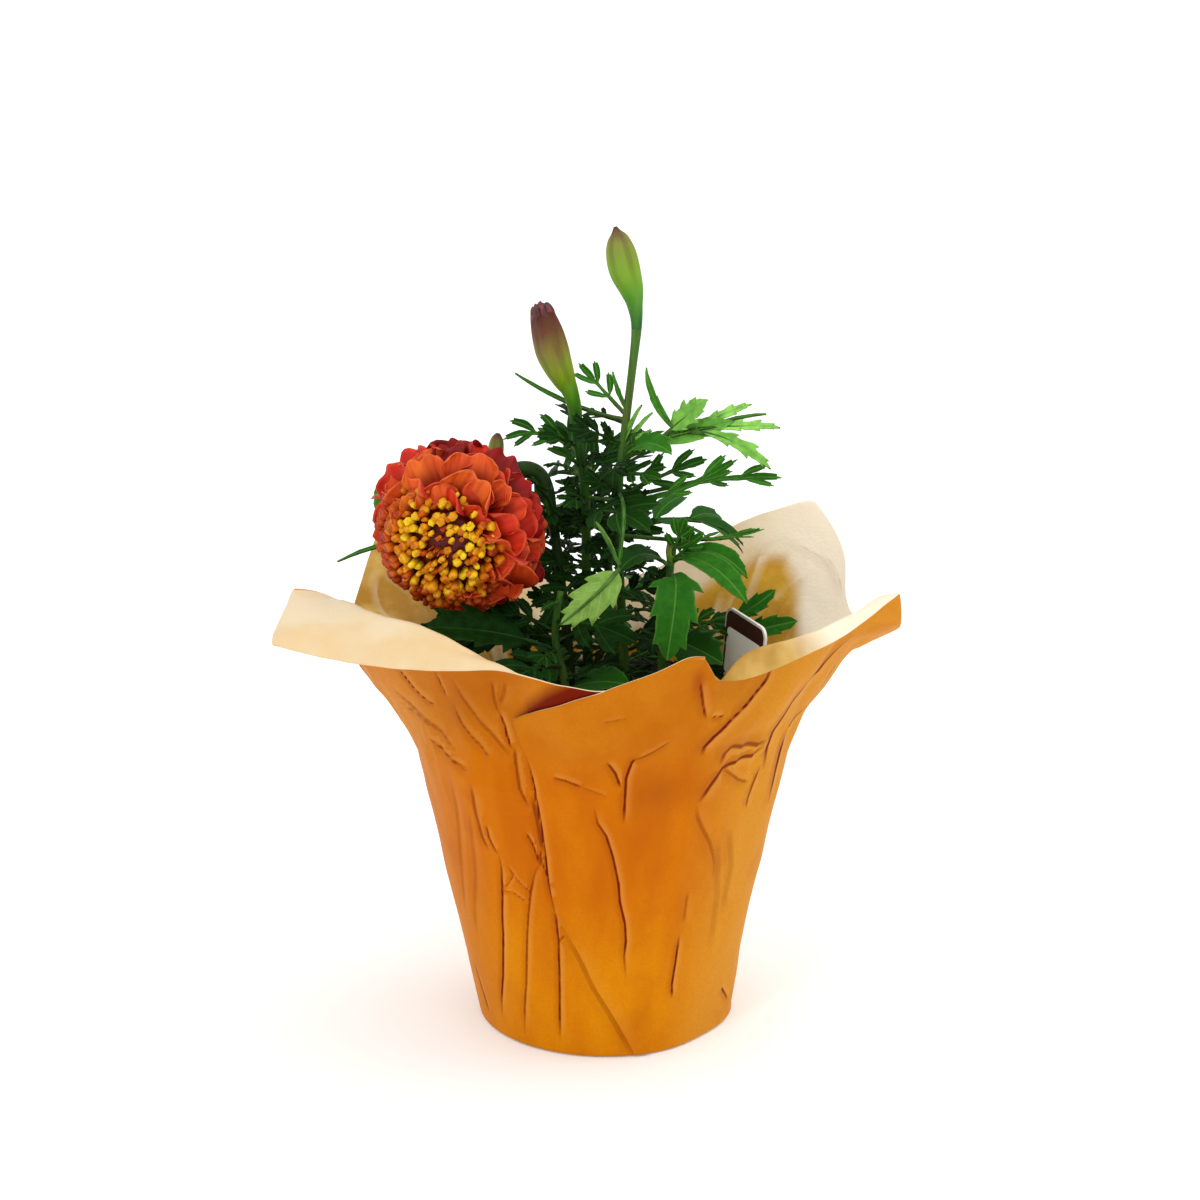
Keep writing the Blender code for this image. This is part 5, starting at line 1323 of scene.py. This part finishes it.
def add_fillers(blades, stalks, name, line, draw):
    """Small leaves spread round the stem, kept inside the flare of the cover, dark with painted shade."""
    low, high, count, reach = FILLERS[name]
    for i in range(count):
        base = point_on_stem(line, low + (high - low) * (i + draw.uniform(0.1, 0.9)) / count)
        turn = math.radians(137.5 * i + draw.uniform(-25, 25))
        tip = base + Vector((math.cos(turn), math.sin(turn), 0)) * reach * draw.uniform(0.75, 1.15)
        tip.z += draw.uniform(-0.25, 0.45) * reach
        shrink = min(1.0, (46 if tip.z < 102 else 54) / math.hypot(tip.x, tip.y))
        tip.x, tip.y = tip.x * shrink, tip.y * shrink
        if tip.z > 122 and name != "stem_left":
            tip.x = min(13 + draw.uniform(-4, 3), max(-20 + draw.uniform(-3, 3), tip.x))
        facing = (draw.uniform(-0.5, 0.5), -0.5 + draw.uniform(-0.4, 0.4), 0.9)
        kind = draw.choice(("short", "narrow", "feather"))
        # Dark tones: painted shade in the heart of the plant
        tone = 0.02 + 0.28 * draw.random() ** 2
        add_leaf(blades, stalks, Bend(base, tip, facing, draw.uniform(20, 50)), kind, tone, draw, 2)


def bud_form(count, depth, start, end):
    """Ribs of a bud between two rings of its tube."""

    def form(turn, ring):
        if not start <= ring <= end:
            return 1.0
        rise = math.sin(math.pi * (ring - start) / (end - start)) ** 0.5
        return 1 - depth * rise * (0.5 - 0.5 * math.cos(count * turn))

    return form


def make_leafy_stem(name, materials, index):
    """Stem, bud and leaves of one stem: slots are upper skin, under skin, stem and bud."""
    draw = random.Random(SEED + 40 + index)
    line = STEMS[name]
    blades, stalks, curves = Build(), Build(), []
    for place, tip, kind, facing, curve, tone in LEAVES[name]:
        if isinstance(place, tuple):
            base = curves[place[0]].at_share(place[1])
        else:
            base = point_on_stem(line, place)
        curves.append(Bend(base, Vector(tip), facing, curve))
        add_leaf(blades, stalks, curves[-1], kind, tone, draw)
    add_fillers(blades, stalks, name, line, draw)
    knots = smooth_line(line, STEM_STEPS)
    sides, ribs = (40, 5) if name in ("stem_right_bud", "stem_left_bud") else (16, 6)
    # The bloom's stem is darkened with painted shade
    tone = 0.02 if name == "stem_bloom" else 0.3
    if name in BUD_STARTS:
        start = BUD_STARTS[name] * STEM_STEPS
        points, faces, around = tube(knots, sides, bud_form(ribs, 0.13, start + 4, len(knots) + 6))
        along = [clamp((i // sides - start) / (len(knots) - 1 - start)) for i in range(len(points) - 2)]
        along += [0.0, 1.0]
        body = [f for f in faces if min(f) < start * sides or len(points) - 2 in f]
        head = [f for f in faces if f not in set(body)]
        for slot, chosen in ((2, body), (3, head)):
            used = sorted({i for face in chosen for i in face})
            order = {old: new for new, old in enumerate(used)}
            stalks.add(
                [points[i] for i in used], [[order[i] for i in face] for face in chosen], slot,
                along=[along[i] for i in used], across=[max(0.0, 8 * around[i] - 7) for i in used], tone=tone,
            )
    else:
        points, faces, _ = tube(knots, sides)
        stalks.add(points, faces, 2, tone=tone)
    leaf = blades.make(name + "_leaves", materials[:2], "leaf", name)
    thicken(leaf, BLADE, 0, back=1)
    stalks.make(name + "_stalks", materials, "leaf", name)


# Bloom

def bloom_frame():
    up = Vector((0.59, 0.24, 0.77))
    up = (up - BLOOM_AXIS * up.dot(BLOOM_AXIS)).normalized()
    return up, BLOOM_AXIS.cross(up), BLOOM_AXIS


def bloom_rings(outline, sides, way=1):
    """Points of rings round the bloom's axis, for an outline of radius and distance along it."""
    up, side, axis = bloom_frame()
    turns = [way * 2 * math.pi * k / sides for k in range(sides)]
    return [
        BLOOM_SEAT + (up * math.cos(turn) + side * math.sin(turn)) * radius + axis * height
        for radius, height in outline for turn in turns
    ]


def bloom_direction(azimuth, polar):
    up, side, axis = bloom_frame()
    turn, lean = math.radians(azimuth), math.radians(polar)
    radial = up * math.cos(turn) + side * math.sin(turn)
    return radial * math.sin(lean) + axis * math.cos(lean), radial


def add_petal(build, root, tip, lift, facing, width, tone, draw):
    """A ray petal: narrow root, broad cupped blade, and a soft, slightly notched tip."""
    knee, across = (root + tip) / 2 + lift, (tip - root).cross(facing).normalized()
    size, rows, lanes = width / 14, 17, 8
    phases = [draw.uniform(0, 6.28) for _ in range(4)]
    curl, cupping = draw.uniform(-0.30, 0.16), draw.uniform(0.05, 0.26)
    points, values = [], {"along": [], "edge": [], "across": []}
    for row in range(rows):
        t = row / (rows - 1)
        half = float(np.interp(t, *zip(*PETAL_FORM))) * width
        centre = root * (1 - t) ** 2 + knee * 2 * t * (1 - t) + tip * t**2
        ahead = ((knee - root) * (1 - t) + (tip - knee) * t).normalized()
        normal = across.cross(ahead).normalized()
        for k in range(-lanes, lanes + 1):
            c = k / lanes
            rounding = (1 - math.sqrt(max(0.0, 1 - 0.94 * c * c))) * width * 0.44 * t**2
            notch = size * t**4 * (0.7 * math.exp(-((c / 0.2) ** 2)) + 0.4 * math.cos(6 * c + phases[0]))
            ruffle = size * t * (
                1.5 * math.sin(3.2 * c + phases[1]) * c * c * t + 0.7 * math.sin(6.5 * c + phases[2]) * t
                + 0.6 * math.sin(4 * t + 2.5 * c + phases[3])
            )
            cup = width * (cupping * t * c * c + curl * 0.3 * t**3)
            points.append(centre + across * c * half - ahead * (rounding + notch) + normal * (cup + ruffle))
            values["along"].append(t)
            values["edge"].append(max(abs(c) * (0.55 + 0.45 * t), t))
            values["across"].append(c * half)
    build.add(points, grid_faces(rows, 2 * lanes + 1), tone=tone, **values)


def on_ball(right, up, radius):
    """A place on a ball round the bloom's seat, by how far right and up it is seen from the front."""
    ahead = math.sqrt(max(0.0, radius * radius - right * right - up * up))
    return BLOOM_BALL + VIEW_RIGHT * right + VIEW_UP * up + VIEW_OUT * ahead


def make_petals(front, back, cup):
    """Rings of ray petals round the bloom, the petals that show on its face, and its green seat."""
    draw = random.Random(SEED + 1)
    build = Build()
    for ring, (count, arc, polar, length, width) in enumerate(PETAL_RINGS):
        for i in range(count):
            azimuth = arc * ((i + 0.5) / count - 0.5) + draw.uniform(-4, 4)
            out, radial = bloom_direction(azimuth, polar + draw.uniform(0, 6))
            reach = length * draw.uniform(0.95, 1.03)
            tone = draw.uniform(0.2, 0.75) - 0.35 * (ring > 1) * math.cos(math.radians(azimuth))
            root = BLOOM_SEAT + radial * (RECEPTACLE_RADIUS - 2.2)
            lift = BLOOM_AXIS * reach * 0.3 + radial * reach * 0.1
            shape = random.Random(SEED + 100 * ring + i)
            add_petal(build, root, BLOOM_SEAT + out * reach, lift, BLOOM_AXIS, width, clamp(tone), shape)
    for i, (right, up, root_right, root_up, radius, width, tone) in enumerate(FRONT_PETALS):
        tip, root = on_ball(right, up, radius), on_ball(root_right, root_up, CORE_RADIUS - 3)
        outward = ((tip + root) / 2 - BLOOM_BALL).normalized()
        facing = VIEW_OUT + outward * 0.3 - (tip - root).normalized() * 0.2
        add_petal(build, root, tip, outward * width * 0.3, facing, width, tone, random.Random(SEED + 500 + i))
    thicken(build.make("ray_petals", [front, back], "petal", "bloom_petals"), PETAL, 0, back=1)
    core = Build()
    outline = [
        (0.2, 1), (5.4, 1), (RECEPTACLE_RADIUS, 0.4), (RECEPTACLE_RADIUS, -1), (4.8, -2.2), (0.2, -2.2),
    ]
    core.add(bloom_rings(outline, 32), grid_faces(len(outline), 32, True), tone=0.3)
    core.make("receptacle", [cup], "leaf", "bloom_petals")


def add_floret(build, out, reach, size, tone, draw):
    """A tubular floret: slender foot, swollen uneven head, and a closed tip, which its skin darkens with
    painted shade.
    """
    lean = spoke(out, draw.uniform(0, 6.28)) * draw.uniform(0.4, 3.0)
    lean -= (HOLLOW - out * HOLLOW.dot(out)) * 1.2
    root, tip = BLOOM_SEAT + out * (CORE_RADIUS - 3), BLOOM_SEAT + out * reach + lean
    squash, bulge, phase = draw.uniform(0.45, 1.0), draw.uniform(0.0, 0.3), draw.uniform(0, 6.28)
    line = [
        Vector((*(root.lerp(tip, t) + lean * 0.35 * t * (1 - t)), radius * size)) for t, radius in FLORET_FORM
    ]

    def form(turn, ring):
        lobes = 1 - 0.13 * math.cos(5 * turn + phase) * (ring > 3)
        flat = math.sqrt(math.cos(turn) ** 2 + (squash * math.sin(turn)) ** 2)
        return lobes * flat * (1 + bulge * math.cos(turn + phase))

    sides = 11
    points, faces, _ = tube(line, sides, form)
    along = [share for share, _ in FLORET_FORM for _ in range(sides)] + [0.0, 1.0]
    build.add(points, faces, tone=tone, along=along)


def make_florets(skin):
    """The domed core of the bloom, its florets, and a few thin pins in the hollow of the disc."""
    draw = random.Random(SEED + 2)
    build = Build()
    leans = [math.radians(a) for a in range(0, 66, 6)]
    outline = [(CORE_RADIUS * math.sin(a) + 0.05, CORE_RADIUS * math.cos(a)) for a in leans]
    outline += [(3.4, 1.35), (0.05, 1.35)]
    build.add(bloom_rings(outline, 40, -1), grid_faces(len(outline), 40, True))
    for i in range(FLORET_COUNT):
        share = math.sqrt((i + 0.5) / FLORET_COUNT)
        out, _ = bloom_direction(137.5 * i, FLORET_SPREAD * share + draw.uniform(-2, 2))
        off = math.degrees(math.acos(min(1.0, out.dot(HOLLOW))))
        if off < 7:
            continue
        inner, middle = math.exp(-((off / 22) ** 2)), math.exp(-(((off - 26) / 20) ** 2))
        reach = FLORET_REACH + draw.uniform(-2.2, 0.9) - 1.5 * inner
        size = draw.uniform(0.8, 1.6) * (1 - 0.3 * inner)
        tone = 0.15 + 0.85 * middle * draw.uniform(0.3, 1.2) + draw.uniform(-0.1, 0.2)
        add_floret(build, out, reach, size, clamp(tone), draw)
    for _ in range(14):
        lean = math.radians(2 + 7 * draw.random())
        out = (HOLLOW + spoke(HOLLOW, draw.uniform(0, 6.28)) * math.tan(lean)).normalized()
        pin = ((15, 0.3), (17.5, 0.24), (19.6, 0.2), (20.3, 0.12))
        points, faces, _ = tube([Vector((*(BLOOM_SEAT + out * far), radius)) for far, radius in pin], 6)
        build.add(points, faces, tone=0.35, along=0.9)
    build.make("disc_florets", [skin], "floret", "bloom_florets")


def make_bud_petals(skin):
    """Folded petal tips that show in the mouth of the left bud."""
    draw = random.Random(SEED + 8)
    line = STEMS["stem_left_bud"]
    mouth, below = Vector(line[-1][:3]), Vector(line[-3][:3])
    axis = (mouth - below).normalized()
    build = Build()
    rings = ((9, 2.5, 1.0, 2.6), (6, 1.5, 0.9, 2.9), (3, 0.6, 0.8, 2.7))
    for ring, (count, radius, size, reach) in enumerate(rings):
        for i in range(count):
            out = spoke(axis, 2 * math.pi * (i + 0.5 * ring) / count)
            root = mouth - axis * 1.2 + out * radius
            tip = mouth + axis * (reach + draw.uniform(-0.5, 0.3)) + out * (radius - 0.5)
            form = ((0, 0.9), (0.35, 1.0), (0.7, 0.8), (0.9, 0.45), (1, 0.12))
            points, faces, _ = tube([Vector((*root.lerp(tip, t), r * size)) for t, r in form], 8)
            build.add(points, faces)
    build.make("bud_petal_tips", [skin], "bud_petal", "left_bud_petals")


# Studio

def add_light(name, kind, place, energy, **settings):
    """A light that shines from its place towards the middle of the object."""
    lamp = bpy.data.objects.new(name, bpy.data.lights.new(name, kind))
    lamp.data.energy = energy
    for key, value in settings.items():
        setattr(lamp.data, key, value)
    lamp.location = place
    lamp.rotation_euler = (Vector(place) - Vector((0, 0, 0.1))).to_track_quat("Z", "Y").to_euler()
    bpy.context.scene.collection.objects.link(lamp)


def make_studio():
    """A white table under an even bright sky, with a soft low shadow and one small clear light."""
    scene = bpy.context.scene
    mesh = bpy.data.meshes.new("studio_floor")
    mesh.from_pydata([(-8, -8, 0), (8, -8, 0), (8, 8, 0), (-8, 8, 0)], [], [(0, 1, 2, 3)])
    floor = bpy.data.objects.new("studio_floor", mesh)
    floor.location.z = -0.0002
    mesh.materials.append(floor_white())
    scene.collection.objects.link(floor)
    world = bpy.data.worlds.new("studio")
    world.use_nodes = True
    nodes, links = world.node_tree.nodes, world.node_tree.links
    parts = nodes.new("ShaderNodeSeparateXYZ")
    links.new(nodes.new("ShaderNodeTexCoord").outputs["Generated"], parts.inputs[0])
    sky = nodes.new("ShaderNodeMapRange")
    links.new(parts.outputs["Z"], sky.inputs["Value"])
    sky.inputs["To Min"].default_value, sky.inputs["To Max"].default_value = 0.62, 1.35
    nodes["Background"].inputs["Color"].default_value = (1, 1, 1, 1)
    links.new(sky.outputs[0], nodes["Background"].inputs["Strength"])
    scene.world = world
    add_light("sun", "SUN", (0.55, 0.15, 0.92), 0.6, angle=math.radians(50))
    add_light("glint", "AREA", (-0.4, -0.9, 1.2), 2.5, shape="DISK", size=0.25)
    camera = bpy.data.objects.new("camera", bpy.data.cameras.new("camera"))
    scene.collection.objects.link(camera)
    camera.data.sensor_width = 36
    camera.data.lens = CAMERA_LENS
    camera.data.clip_start = 0.01
    camera.location = CAMERA_PLACE
    camera.rotation_euler = (math.radians(CAMERA_PITCH), 0, 0)
    scene.camera = camera
    scene.view_settings.view_transform = "Standard"


def main():
    make_studio()
    outside, inside = paper_outside(), paper_inside()
    make_cover(outside, inside)
    make_panel(outside, inside)
    make_pot(black_plastic())
    make_soil(soil_surface(), perlite(), bark())
    make_tag(
        tag_plastic("tag_white", (236, 232, 224), (224, 218, 206)),
        tag_plastic("tag_brown", (58, 26, 24), (72, 34, 28)),
        tag_plastic("tag_panel", (248, 250, 238), (252, 252, 244)),
    )
    upper, under, stem = leaf_green("leaf_upper", False), leaf_green("leaf_under", True), stem_green()
    closed = bud_skin(
        "right_bud_skin", (0, 40, 92, 40), (0.22, 84, 142, 40), (0.42, 122, 160, 44),
        (0.66, 132, 134, 62), (0.86, 104, 78, 50), (1, 82, 42, 34),
    )
    opening = bud_skin(
        "left_bud_skin", (0, 30, 70, 26), (0.26, 74, 128, 12), (0.46, 124, 150, 22),
        (0.62, 128, 118, 48), (0.78, 104, 62, 42), (1, 78, 30, 30),
    )
    for index, name in enumerate(STEMS):
        bud = opening if name == "stem_left_bud" else closed
        make_leafy_stem(name, [upper, under, stem, bud], index)
    make_petals(petal_skin("petal_face", False), petal_skin("petal_back", True), under)
    make_florets(floret_skin())
    make_bud_petals(bud_petal_skin())


main()
